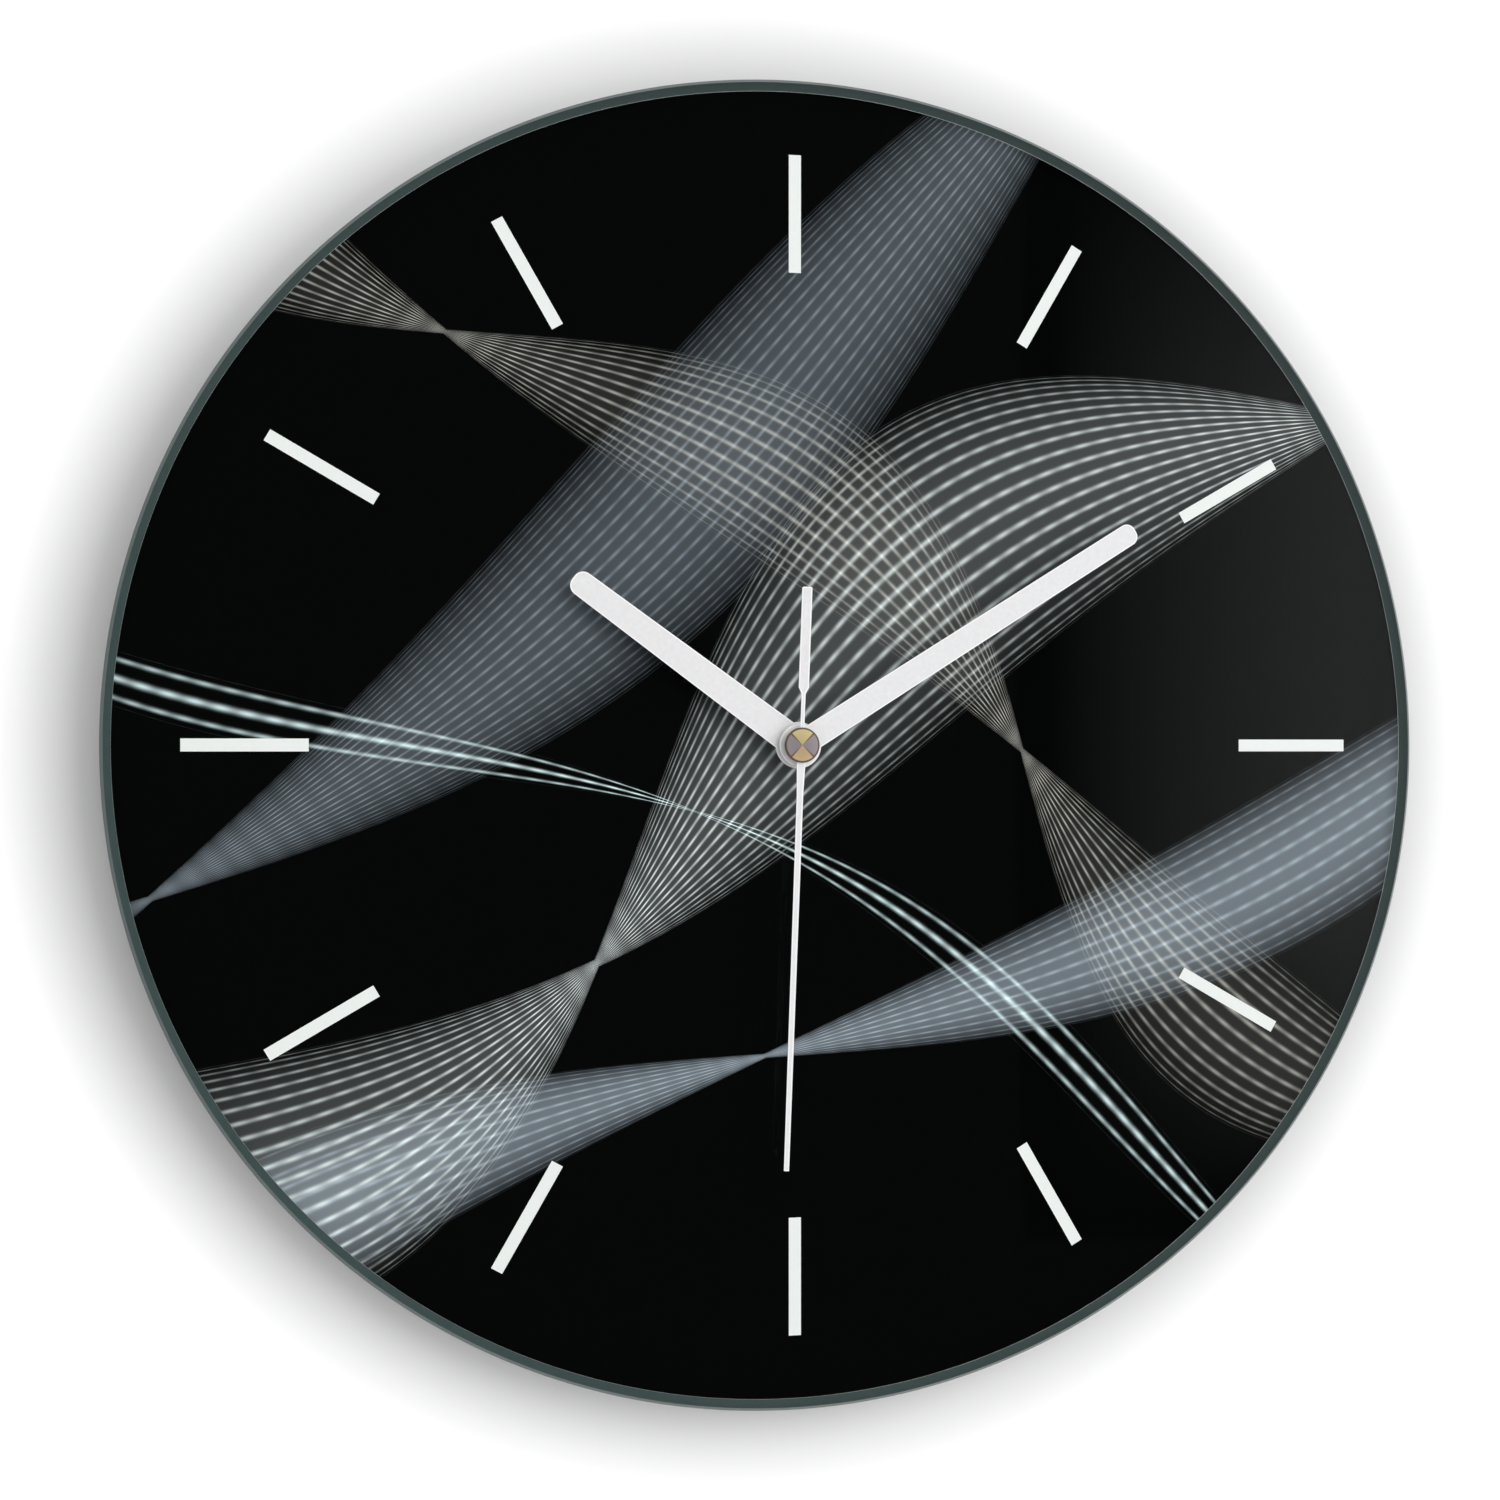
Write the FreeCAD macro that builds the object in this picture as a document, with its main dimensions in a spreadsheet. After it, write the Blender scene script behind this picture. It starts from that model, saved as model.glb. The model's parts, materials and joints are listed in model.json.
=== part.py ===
import FreeCAD, Part
import Sketcher
import math
import os
import re

# Round glass wall clock with a battery quartz movement, in millimetres.
# Each piece is drawn in the dial's own frame: across to the right, up to twelve o'clock, and out from the
# wall towards the viewer. A quarter turn then stands it up, so that out becomes -Y and up becomes +Z.
# The hands' axis passes through the origin, which lies on the wall.

SIZES = {
    # glass disc, its ground edge, and the print on its back
    "glass_radius": 150.0,
    "glass_thickness": 4.0,
    "front_arris": 0.9,
    "back_arris": 1.9,
    "glass_hole_radius": 4.0,
    "print_margin": 2.0,
    "film_thickness": 0.2,
    "ink_thickness": 0.1,
    "marker_inset": 16.2,
    "marker_length": 26.7,
    "marker_width": 2.8,
    "marker_count": 12,
    # double-sided foam tape
    "foam_margin": 1.75,
    "foam_thickness": 1.0,
    "foam_hole_radius": 6.5,
    # movement case, and how far up the floor of the train's room lies
    "case_depth": 16.5,
    "case_wall": 1.2,
    "case_corner": 3.0,
    "room_bottom": -10.25,
    "lid_thickness": 1.2,
    "rim_thickness": 0.8,
    "rim_height": 1.5,
    "rim_start": -4.0,
    "rim_clearance": 0.1,
    "boss_radius": 3.8,
    "boss_stand": 0.7,
    "corner_post_radius": 1.6,
    "post_wall_gap": 0.95,
    "post_edge_gap": 0.85,
    # hanger moulded on the top of the case
    "hanger_half_width": 8.0,
    "hanger_stand": 6.25,
    "hanger_thickness": 2.0,
    "hanging_hole_radius": 3.5,
    "hanging_hole_stand": 5.25,
    "nail_slot_half_width": 2.0,
    "nail_slot_length": 5.0,
    # battery cell and its bay
    "cell_radius": 7.25,
    "cell_length": 50.5,
    "cell_rounding": 0.6,
    "cell_nub_radius": 2.75,
    "cell_nub_length": 1.0,
    "cell_clearance": 0.3,
    "cell_front_clearance": 0.1,
    # sprung battery contacts
    "strip_thickness": 0.3,
    "strip_wall_gap": 0.1,
    "strip_half_height": 5.0,
    "strip_touch_gap": 0.05,
    "dimple_height": 0.85,
    "positive_dimple_radius": 2.0,
    "negative_dimple_radius": 3.0,
    "tongue_width": 2.2,
    "tongue_clearance": 0.7,
    "notch_width": 0.65,
    "notch_depth": 3.3,
    "foot_width": 2.0,
    "foot_length": 3.2,
    # bearing plate between the two halves of the movement
    "plate_level": 7.6,
    "plate_thickness": 0.8,
    "plate_edge_gap": 0.25,
    "plate_margin": 0.2,
    "stator_post_radius": 1.2,
    "near_post_inset": 3.2,
    "far_post_inset": 9.6,
    # gear train: the number of teeth of each wheel and pinion. The rotor makes half a turn each second, and
    # these bring it down to one turn a minute, one turn an hour and one turn in twelve hours
    "rotor_pinion_tooth_count": 8,
    "intermediate_wheel_tooth_count": 48,
    "intermediate_pinion_tooth_count": 10,
    "second_wheel_tooth_count": 50,
    "second_pinion_tooth_count": 8,
    "third_wheel_tooth_count": 64,
    "third_pinion_tooth_count": 8,
    "centre_wheel_tooth_count": 60,
    "cannon_pinion_tooth_count": 12,
    "minute_wheel_tooth_count": 36,
    "minute_pinion_tooth_count": 10,
    "hour_wheel_tooth_count": 40,
    "setting_pinion_tooth_count": 12,
    # shape of a tooth: the pressure angle in degrees, and the heights above and below the pitch circle as
    # shares of the module
    "pressure_angle": 30.0,
    "addendum_share": 0.8,
    "dedendum_share": 1.1,
    # gear train: places of the arbors, and how far out each wheel starts. The intermediate arbor and the
    # rotor stand on one line from the centre, at an angle in degrees
    "third_across": -3.4,
    "third_up": 8.3,
    "train_angle": 40.0,
    "arbor_gap": 0.5,
    "rotor_distance": 5.6,
    "well_gap": 2.04,
    "second_level": 1.7,
    "intermediate_level": 3.2,
    "third_level": 4.6,
    "centre_level": 6.1,
    "minute_wheel_level": 9.0,
    "hour_level": 10.6,
    "wheel_thickness": 0.8,
    "pinion_overlap": 0.3,
    "tooth_play": 0.04,
    "arbor_radius": 0.4,
    "pivot_radius": 0.25,
    "pivot_clearance": 0.06,
    "pivot_depth": 0.7,
    "end_play": 0.2,
    # shafts through the centre of the dial
    "second_arbor_radius": 0.5,
    "second_hub_radius": 1.0,
    "minute_tube_radius": 1.6,
    "minute_stub_radius": 1.2,
    "centre_hub_radius": 2.2,
    "hour_tube_radius": 2.5,
    "hour_hub_radius": 3.3,
    "shaft_clearance": 0.06,
    "minute_post_radius": 0.75,
    # setting knob at the back
    "knob_radius": 5.8,
    "knob_thickness": 2.8,
    "knob_recess": 0.4,
    "knob_clearance": 0.4,
    "knob_groove_radius": 0.45,
    "knob_groove_count": 24,
    "knob_face_radius": 3.6,
    "knob_face_depth": 0.5,
    "well_wall": 0.8,
    "well_floor": 1.0,
    "setting_shaft_radius": 1.2,
    # motor
    "magnet_radius": 2.4,
    "magnet_thickness": 2.0,
    "stator_hole_radius": 2.9,
    "stator_ring_radius": 4.4,
    "stator_level": 5.7,
    "stator_thickness": 1.2,
    "coil_end_gap": 1.0,
    "stator_leg_width": 3.5,
    "stator_gap": 0.83,
    "stator_bar_width": 3.2,
    "stator_leg_margin": 0.3,
    "stator_wall_gap": 6.55,
    "coil_wheel_gap": 0.93,
    "coil_wall_gap": 0.75,
    "core_width": 3.0,
    "core_thickness": 1.2,
    "core_clearance": 0.05,
    "bobbin_half_length": 11.0,
    "bobbin_flange_radius": 4.2,
    "bobbin_flange_thickness": 0.8,
    "bobbin_core_radius": 2.2,
    "winding_radius": 3.9,
    # circuit board and what is on it
    "board_width": 15.0,
    "board_height": 16.5,
    "board_wall_gap": 1.05,
    "board_edge_gap": 1.25,
    "board_thickness": 1.0,
    "chip_radius": 3.0,
    "chip_height": 1.2,
    "chip_rounding_share": 0.8,
    "chip_inset": 7.0,
    "chip_rise": 11.5,
    "crystal_radius": 1.0,
    "crystal_length": 6.0,
    "crystal_rise": 5.8,
    # hands
    "hand_thickness": 0.4,
    "hour_hand_gap": 1.4,
    "hand_step": 2.0,
    "tube_stand": 0.3,
    "hour_hand_length": 62.3,
    "hour_hand_root_width": 7.0,
    "hour_hand_tip_width": 5.5,
    "hour_hand_hub_radius": 5.2,
    "minute_hand_length": 93.0,
    "minute_hand_root_width": 5.8,
    "minute_hand_tip_width": 5.0,
    "minute_hand_hub_radius": 4.7,
    "tip_rounding_share": 0.42,
    "second_hand_thickness": 0.25,
    "second_hand_length": 94.5,
    "needle_shoulder_width": 2.2,
    "needle_shoulder_length": 11.0,
    "second_hand_root_width": 1.45,
    "second_hand_tip_width": 1.15,
    "second_hand_hub_radius": 3.2,
    "tail_length": 35.2,
    "tail_neck_length": 11.4,
    "tail_neck_width": 0.9,
    "tail_shoulder_length": 1.4,
    "tail_width": 2.3,
    "tail_rounding": 0.4,
    "socket_radius": 1.0,
    "socket_gap": 0.3,
    "cap_radius": 3.9,
    "cap_thickness": 0.9,
    "cap_bevel": 0.2,
    # angles of the hands, clockwise from twelve o'clock
    "hour_hand_angle": 306.2,
    "minute_hand_angle": 57.8,
    "second_hand_angle": 182.1,
    # how far a cutting shape runs past what it cuts
    "overrun": 0.5,
}

# Places that several pieces share, worked out from the sizes. The case is as wide as the battery cell with
# its contacts, and as tall as the cell, the train and the coil stacked above each other.
PLACES = {
    # out from the wall
    "case_front": "case_depth - lid_thickness",
    "film_back": "case_depth + foam_thickness",
    "glass_back": "film_back + film_thickness",
    "glass_front": "glass_back + glass_thickness",
    "hour_hand_back": "glass_front + hour_hand_gap",
    "minute_hand_back": "hour_hand_back + hand_step",
    "second_hand_back": "minute_hand_back + hand_step",
    "socket_length": "hand_step - hand_thickness - tube_stand - socket_gap",
    "plate_front": "plate_level + plate_thickness",
    "stator_front": "stator_level + stator_thickness",
    "board_front": "plate_front + board_thickness",
    "well_depth": "knob_recess + knob_thickness + knob_clearance",
    "cell_out": "case_front - cell_front_clearance - cell_radius",
    # across the dial
    "marker_reach": "glass_radius - marker_inset",
    "strip_inner": "cell_length / 2 + strip_touch_gap + dimple_height",
    "strip_outer": "strip_inner + strip_thickness",
    "inner_half": "strip_outer + strip_wall_gap",
    "case_half": "inner_half + case_wall",
    "post_across": "inner_half - post_wall_gap - corner_post_radius",
    "stator_half_span": "bobbin_half_length + coil_end_gap + stator_leg_width",
    "coil_across": "inner_half - stator_wall_gap - stator_half_span",
    "board_right": "inner_half - board_wall_gap",
    "board_left": "board_right - board_width",
    "well_radius": "knob_radius + knob_clearance",
    # gear train
    "third_distance": "sqrt(third_across ^ 2 + third_up ^ 2)",
    "third_module": "2 * third_distance / (second_pinion_tooth_count + third_wheel_tooth_count)",
    "centre_module": "2 * third_distance / (third_pinion_tooth_count + centre_wheel_tooth_count)",
    "centre_wheel_reach": "centre_module * (centre_wheel_tooth_count / 2 + addendum_share)",
    "intermediate_distance": "centre_wheel_reach + arbor_gap + arbor_radius",
    "intermediate_across": "intermediate_distance * cos(train_angle)",
    "intermediate_up": "intermediate_distance * sin(train_angle)",
    "rotor_across": "(intermediate_distance + rotor_distance) * cos(train_angle)",
    "rotor_up": "(intermediate_distance + rotor_distance) * sin(train_angle)",
    "second_tooth_sum": "intermediate_pinion_tooth_count + second_wheel_tooth_count",
    "second_module": "2 * intermediate_distance / second_tooth_sum",
    "second_wheel_reach": "second_module * (second_wheel_tooth_count / 2 + addendum_share)",
    "setting_across": "-(second_wheel_reach + well_gap + well_radius + well_wall)",
    "minute_wheel_across": "setting_across / 2",
    # up the dial
    "bay_top": "room_bottom - case_wall",
    "cell_up": "bay_top - cell_clearance - cell_radius",
    "inner_bottom": "cell_up - cell_radius - cell_clearance",
    "case_bottom": "inner_bottom - case_wall",
    "third_wheel_top": "third_up + third_module * (third_wheel_tooth_count / 2 + addendum_share)",
    "third_pinion_top": "third_up + centre_module * (third_pinion_tooth_count / 2 + addendum_share)",
    "stator_bottom": "third_pinion_top + stator_gap",
    "stator_bar_top": "stator_bottom + stator_bar_width",
    "plate_top": "stator_bar_top + plate_margin",
    "coil_up": "third_wheel_top + coil_wheel_gap + bobbin_flange_radius",
    "stator_top": "coil_up + core_width / 2 + stator_leg_margin",
    "inner_top": "coil_up + bobbin_flange_radius + coil_wall_gap",
    "case_top": "inner_top + case_wall",
    "low_post_up": "room_bottom + post_edge_gap + corner_post_radius",
    "high_post_up": "plate_top - post_edge_gap - corner_post_radius",
    "hanger_centre_up": "case_top + hanger_stand",
    "hanging_hole_up": "case_top + hanging_hole_stand",
    "nail_slot_end_up": "hanging_hole_up + nail_slot_length - nail_slot_half_width",
    "board_bottom": "room_bottom + board_edge_gap",
    "chip_across": "board_right - chip_inset",
    "chip_up": "board_bottom + chip_rise",
    "crystal_up": "board_bottom + crystal_rise",
}

# Where each arbor stands on the dial, across and up.
ARBORS = {
    "centre": ("0", "0"),
    "third": ("third_across", "third_up"),
    "intermediate": ("intermediate_across", "intermediate_up"),
    "rotor": ("rotor_across", "rotor_up"),
    "minute": ("minute_wheel_across", "0"),
    "setting": ("setting_across", "0"),
}

UP = FreeCAD.Vector(0, 0, 1)
STAND = FreeCAD.Rotation(FreeCAD.Vector(1, 0, 0), 90)
parts = []


def pointed(text, sheets):
    """An expression in which each name points at its cell in one of the sheets."""

    def cell(word):
        for label, names in sheets.items():
            if word[0] in names:
                return label + "." + word[0]
        return word[0]

    return re.sub(r"[a-z]+(_[a-z]+)*", cell, text)


def new_sheet(label, cells):
    """A sheet with a name and a value in each row, and the name as the value's alias."""
    sheet = document.addObject("Spreadsheet::Sheet", label)
    for row, (name, value) in enumerate(cells.items(), start=1):
        sheet.set("A" + str(row), name)
        sheet.set("B" + str(row), value)
        sheet.setAlias("B" + str(row), name)
    document.recompute()
    return sheet


document = FreeCAD.newDocument("wall_clock")
sizes_sheet = new_sheet("Sizes", {name: str(value) for name, value in SIZES.items()})
formulas = {name: "=" + pointed(formula, {"Sizes": SIZES}) for name, formula in PLACES.items()}
places_sheet = new_sheet("Places", formulas)


def size(name):
    """A size, or a place worked out from the sizes, as a number."""
    sheet = sizes_sheet if name in SIZES else places_sheet
    return float(sheet.get(name))


def bound(text):
    """An expression of sizes and places, for a property of a feature."""
    return pointed(text, {"Sizes": SIZES, "Places": PLACES})


def bind(thing, place, text):
    """Ties a property to an expression of sizes."""
    thing.setExpression(place, bound(text))


def stand(part, across="0", up="0", out="0", turn=0.0):
    """Stands a finished piece up in the clock, turned about its own axis first, and keeps it for writing."""
    part.Placement = FreeCAD.Placement(FreeCAD.Vector(), STAND.multiply(FreeCAD.Rotation(UP, turn)))
    bind(part, "Placement.Base.x", across)
    bind(part, "Placement.Base.y", "-(" + out + ")")
    bind(part, "Placement.Base.z", up)
    parts.append(part)


def new_body(label):
    body = document.addObject("PartDesign::Body", label)
    body.Label = label
    return body


def new_sketch(body, out="0", role="XY_Plane"):
    """An empty sketch on one of the body's own planes, moved out along its normal."""
    sketch = body.newObject("Sketcher::SketchObject", "sketch")
    plane = [feature for feature in body.Origin.OriginFeatures if feature.Role == role][0]
    sketch.AttachmentSupport = [(plane, "")]
    sketch.MapMode = "FlatFace"
    bind(sketch, "AttachmentOffset.Base.z", out)
    return sketch


def fix_point(sketch, edge, end, across, up):
    """Holds one point of a sketch at a place given by two expressions."""
    for kind, text, axis in (("DistanceX", across, -2), ("DistanceY", up, -1)):
        if text == "0":
            sketch.addConstraint(Sketcher.Constraint("PointOnObject", edge, end, axis))
        else:
            index = sketch.addConstraint(Sketcher.Constraint(kind, -1, 1, edge, end, 1.0))
            sketch.setExpression("Constraints[" + str(index) + "]", bound(text))


def draw_circle(sketch, radius, across="0", up="0"):
    edge = sketch.addGeometry(Part.Circle(FreeCAD.Vector(), UP, 1.0), False)
    fix_point(sketch, edge, 3, across, up)
    index = sketch.addConstraint(Sketcher.Constraint("Radius", edge, 1.0))
    sketch.setExpression("Constraints[" + str(index) + "]", bound(radius))


def draw_outline(sketch, corners):
    """A closed outline of straight lines through corners that are each held by two expressions."""
    count = len(corners)
    turns = [math.tau * i / count for i in range(count)]
    unit = [FreeCAD.Vector(math.cos(turn), math.sin(turn), 0) for turn in turns]
    edges = [sketch.addGeometry(Part.LineSegment(unit[i - 1], unit[i]), False) for i in range(count)]
    for i in range(count):
        sketch.addConstraint(Sketcher.Constraint("Coincident", edges[i - 1], 2, edges[i], 1))
        fix_point(sketch, edges[i], 2, *corners[i])


def draw_rectangle(sketch, left, right, bottom, top):
    draw_outline(sketch, [(left, bottom), (right, bottom), (right, top), (left, top)])


def draw_bar(sketch, half_width, bottom, top, top_half_width=None):
    """A straight or tapering bar centred on the sketch's upright axis."""
    other = top_half_width or half_width
    corners = [("-" + half_width, bottom), (half_width, bottom), (other, top), ("-" + other, top)]
    draw_outline(sketch, corners)


def pad(body, sketch, length):
    """Adds material from the sketch outwards."""
    feature = body.newObject("PartDesign::Pad", "pad")
    feature.Profile = sketch
    bind(feature, "Length", length)
    sketch.Visibility = False
    document.recompute()
    return feature


def pocket(body, sketch, length):
    """Takes material away from the sketch back towards the wall, and stops if nothing was cut."""
    before = body.Shape.Volume
    feature = body.newObject("PartDesign::Pocket", "pocket")
    feature.Profile = sketch
    bind(feature, "Length", length)
    document.recompute()
    if not body.Shape.Volume < before:
        raise RuntimeError(body.Label + ": a pocket cut nothing")
    return feature


def repeat_round(body, feature, sketch, count):
    """Repeats a feature round the body's own axis."""
    pattern = body.newObject("PartDesign::PolarPattern", "ring")
    pattern.Originals = [feature]
    pattern.Axis = (sketch, ["N_Axis"])
    pattern.Angle = 360
    bind(pattern, "Occurrences", count)
    body.Tip = pattern
    document.recompute()


def edge_names(shape, wanted):
    return ["Edge" + str(i) for i, edge in enumerate(shape.Edges, start=1) if wanted(edge)]


def is_upright(edge):
    """Whether an edge is a straight line square to the dial."""
    if not isinstance(edge.Curve, (Part.Line, Part.LineSegment)):
        return False
    run = edge.Vertexes[-1].Point - edge.Vertexes[0].Point
    return math.hypot(run.x, run.y) < 1e-6 * run.Length


def round_corners(body, feature, radius, wanted=is_upright):
    fillet = body.newObject("PartDesign::Fillet", "rounding")
    fillet.Base = (feature, edge_names(feature.Shape, wanted))
    bind(fillet, "Radius", radius)
    document.recompute()
    return fillet


def bevel(body, feature, amount, wanted):
    chamfer = body.newObject("PartDesign::Chamfer", "bevel")
    chamfer.Base = (feature, edge_names(feature.Shape, wanted))
    bind(chamfer, "Size", amount)
    document.recompute()
    return chamfer


def round_edge(radius, out):
    """A test for the circular edge of one radius at one distance out."""

    def wanted(edge):
        circle = edge.Curve
        if not isinstance(circle, Part.Circle) or abs(circle.Radius - radius) > 1e-6 * radius:
            return False
        return abs(circle.Center.z - out) < 1e-6 * radius

    return wanted


def revolve(body, sketch, axis):
    feature = body.newObject("PartDesign::Revolution", "revolution")
    feature.Profile = sketch
    feature.ReferenceAxis = (sketch, [axis])
    feature.Angle = 360
    document.recompute()
    return feature


def new_feature(label, shape):
    part = document.addObject("Part::Feature", label)
    part.Label = label
    part.Shape = shape
    return part


# Glass, print, markers and foam

def make_glass():
    """Toughened glass disc: the hole is drilled, and both rims of the edge are ground to a bevel."""
    body = new_body("glass_disc")
    outline = new_sketch(body)
    draw_circle(outline, "glass_radius")
    draw_circle(outline, "glass_hole_radius")
    disc = pad(body, outline, "glass_thickness")
    front = bevel(body, disc, "front_arris", round_edge(size("glass_radius"), size("glass_thickness")))
    bevel(body, front, "back_arris", round_edge(size("glass_radius"), 0.0))
    stand(body, out="glass_back")


def make_film():
    """Printed layer, with a thin recess for each marker's own ink."""
    body = new_body("print_film")
    outline = new_sketch(body)
    draw_circle(outline, "glass_radius - print_margin")
    draw_circle(outline, "glass_hole_radius")
    pad(body, outline, "film_thickness")
    recess = new_sketch(body, "film_thickness")
    draw_bar(recess, "marker_width / 2", "marker_reach - marker_length", "marker_reach")
    first = pocket(body, recess, "ink_thickness")
    repeat_round(body, first, recess, "marker_count")
    stand(body, out="film_back")


def make_markers():
    """Twelve white bars of ink, which fill the recesses of the printed layer."""
    bars = []
    for hour in range(int(size("marker_count"))):
        bar = document.addObject("Part::Box", "marker")
        bind(bar, "Length", "marker_width")
        bind(bar, "Width", "marker_length")
        bind(bar, "Height", "ink_thickness")
        turn = FreeCAD.Rotation(UP, 360 * hour / size("marker_count"))
        corner = FreeCAD.Vector(-size("marker_width") / 2, size("marker_reach") - size("marker_length"), 0)
        bar.Placement = FreeCAD.Placement(turn.multVec(corner), turn)
        bars.append(bar)
    group = document.addObject("Part::Compound", "hour_markers")
    group.Label = "hour_markers"
    group.Links = bars
    stand(group, out="glass_back - ink_thickness")


def make_foam():
    """Square of double-sided foam tape that holds the movement on the glass."""
    body = new_body("foam_pad")
    outline = new_sketch(body)
    half = "(case_half - foam_margin)"
    draw_rectangle(outline, "-" + half, half, "case_bottom + foam_margin", "case_top - foam_margin")
    draw_circle(outline, "foam_hole_radius")
    pad(body, outline, "foam_thickness")
    stand(body, out="case_depth")


# Movement case

PIVOTS = [ARBORS[name] for name in ("centre", "third", "intermediate", "rotor")]
POSTS = [
    ("-post_across", "low_post_up"),
    ("post_across", "low_post_up"),
    ("-post_across", "high_post_up"),
    ("post_across", "high_post_up"),
]


def case_block(label, thickness):
    """The rounded block that each half of the case starts as."""
    body = new_body(label)
    outline = new_sketch(body)
    draw_rectangle(outline, "-case_half", "case_half", "case_bottom", "case_top")
    block = pad(body, outline, thickness)
    round_corners(body, block, "case_corner")
    return body


def make_case_rear():
    """Moulded shell: room for the train, a battery bay that opens to the back, a well and a hanger."""
    body = case_block("case_rear", "case_front")
    tab = new_sketch(body)
    draw_rectangle(tab, "-hanger_half_width", "hanger_half_width", "inner_top", "hanger_centre_up")
    pad(body, tab, "hanger_thickness")
    crown = new_sketch(body)
    draw_circle(crown, "hanger_half_width", "0", "hanger_centre_up")
    pad(body, crown, "hanger_thickness")

    room = new_sketch(body, "case_front")
    draw_rectangle(room, "-inner_half", "inner_half", "room_bottom", "inner_top")
    pocket(body, room, "case_front - case_wall")
    bay = new_sketch(body, "case_front")
    draw_rectangle(bay, "-inner_half", "inner_half", "inner_bottom", "bay_top")
    pocket(body, bay, "case_front + overrun")
    notches = new_sketch(body, "case_front")
    inside = "(inner_half - notch_width)"
    draw_rectangle(notches, "-inner_half", "-" + inside, "bay_top", "room_bottom")
    draw_rectangle(notches, inside, "inner_half", "bay_top", "room_bottom")
    pocket(body, notches, "notch_depth")

    posts = new_sketch(body, "case_wall")
    for across, up in POSTS:
        draw_circle(posts, "corner_post_radius", across, up)
    pad(body, posts, "plate_level - case_wall")
    well = new_sketch(body)
    draw_circle(well, "well_radius + well_wall", "setting_across")
    pad(body, well, "well_depth + well_floor")
    hollow = new_sketch(body, "well_depth")
    draw_circle(hollow, "well_radius", "setting_across")
    pocket(body, hollow, "well_depth + overrun")
    shaft = new_sketch(body, "well_depth + well_floor")
    draw_circle(shaft, "setting_shaft_radius + shaft_clearance", "setting_across")
    pocket(body, shaft, "well_floor + overrun")
    bearings = new_sketch(body, "case_wall")
    for across, up in PIVOTS:
        draw_circle(bearings, "pivot_radius + pivot_clearance", across, up)
    pocket(body, bearings, "pivot_depth + pivot_clearance")

    hole = new_sketch(body, "hanger_thickness")
    draw_circle(hole, "hanging_hole_radius", "0", "hanging_hole_up")
    pocket(body, hole, "hanger_thickness + overrun")
    slot = new_sketch(body, "hanger_thickness")
    draw_bar(slot, "nail_slot_half_width", "hanging_hole_up", "nail_slot_end_up")
    pocket(body, slot, "hanger_thickness + overrun")
    slot_end = new_sketch(body, "hanger_thickness")
    draw_circle(slot_end, "nail_slot_half_width", "0", "nail_slot_end_up")
    pocket(body, slot_end, "hanger_thickness + overrun")
    stand(body)


def make_case_front():
    """Front cover with the smooth boss that guides the hour tube through the glass."""
    body = case_block("case_front", "lid_thickness")
    boss = new_sketch(body, "lid_thickness")
    draw_circle(boss, "boss_radius")
    pad(body, boss, "glass_front - case_depth + boss_stand")
    rim = new_sketch(body, "-rim_height")
    outer = "(inner_half - rim_clearance)"
    inner = "(inner_half - rim_clearance - rim_thickness)"
    outer_top = "inner_top - rim_clearance"
    inner_top = "inner_top - rim_clearance - rim_thickness"
    corners = [
        ("-" + outer, "rim_start"),
        ("-" + inner, "rim_start"),
        ("-" + inner, inner_top),
        (inner, inner_top),
        (inner, "rim_start"),
        (outer, "rim_start"),
        (outer, outer_top),
        ("-" + outer, outer_top),
    ]
    draw_outline(rim, corners)
    pad(body, rim, "rim_height")
    bore = new_sketch(body, "glass_front - case_front + boss_stand")
    draw_circle(bore, "hour_tube_radius + shaft_clearance")
    pocket(body, bore, "glass_front - case_front + boss_stand + overrun")
    stand(body, out="case_front")


def make_plate():
    """Bearing plate: holes for the pivots, a post for the minute wheel and two posts behind it."""
    body = new_body("middle_plate")
    edge = "(inner_half - plate_edge_gap)"
    outline = new_sketch(body)
    draw_rectangle(outline, "-" + edge, edge, "room_bottom + plate_edge_gap", "plate_top")
    pad(body, outline, "plate_thickness")
    holes = new_sketch(body, "plate_thickness")
    draw_circle(holes, "minute_stub_radius + shaft_clearance")
    for across, up in PIVOTS[1:]:
        draw_circle(holes, "pivot_radius + pivot_clearance", across, up)
    draw_circle(holes, "setting_shaft_radius + shaft_clearance", "setting_across")
    pocket(body, holes, "plate_thickness + overrun")
    post = new_sketch(body, "plate_thickness")
    draw_circle(post, "minute_post_radius", "minute_wheel_across")
    pad(body, post, "hour_level + wheel_thickness + pinion_overlap - plate_front")
    behind = new_sketch(body, "stator_front - plate_level")
    middle = "stator_bottom + stator_bar_width / 2"
    draw_circle(behind, "stator_post_radius", "coil_across - far_post_inset", middle)
    draw_circle(behind, "stator_post_radius", "coil_across - near_post_inset", middle)
    pad(body, behind, "plate_level - stator_front")
    stand(body, out="plate_level")


# Gear train

def tooth_count(name):
    return int(size(name + "_tooth_count"))


def place(arbor):
    """Where an arbor stands, as two numbers."""
    return [size(name) if name != "0" else 0.0 for name in ARBORS[arbor]]


def tooth_half_angle(radius, pitch_radius, pitch_half_angle):
    """Half the angle that a tooth spans at a radius, from the involute of the pressure angle."""
    pressure = math.radians(size("pressure_angle"))
    here = math.acos(min(1.0, pitch_radius * math.cos(pressure) / radius))
    return pitch_half_angle + (math.tan(pressure) - pressure) - (math.tan(here) - here)


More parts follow.
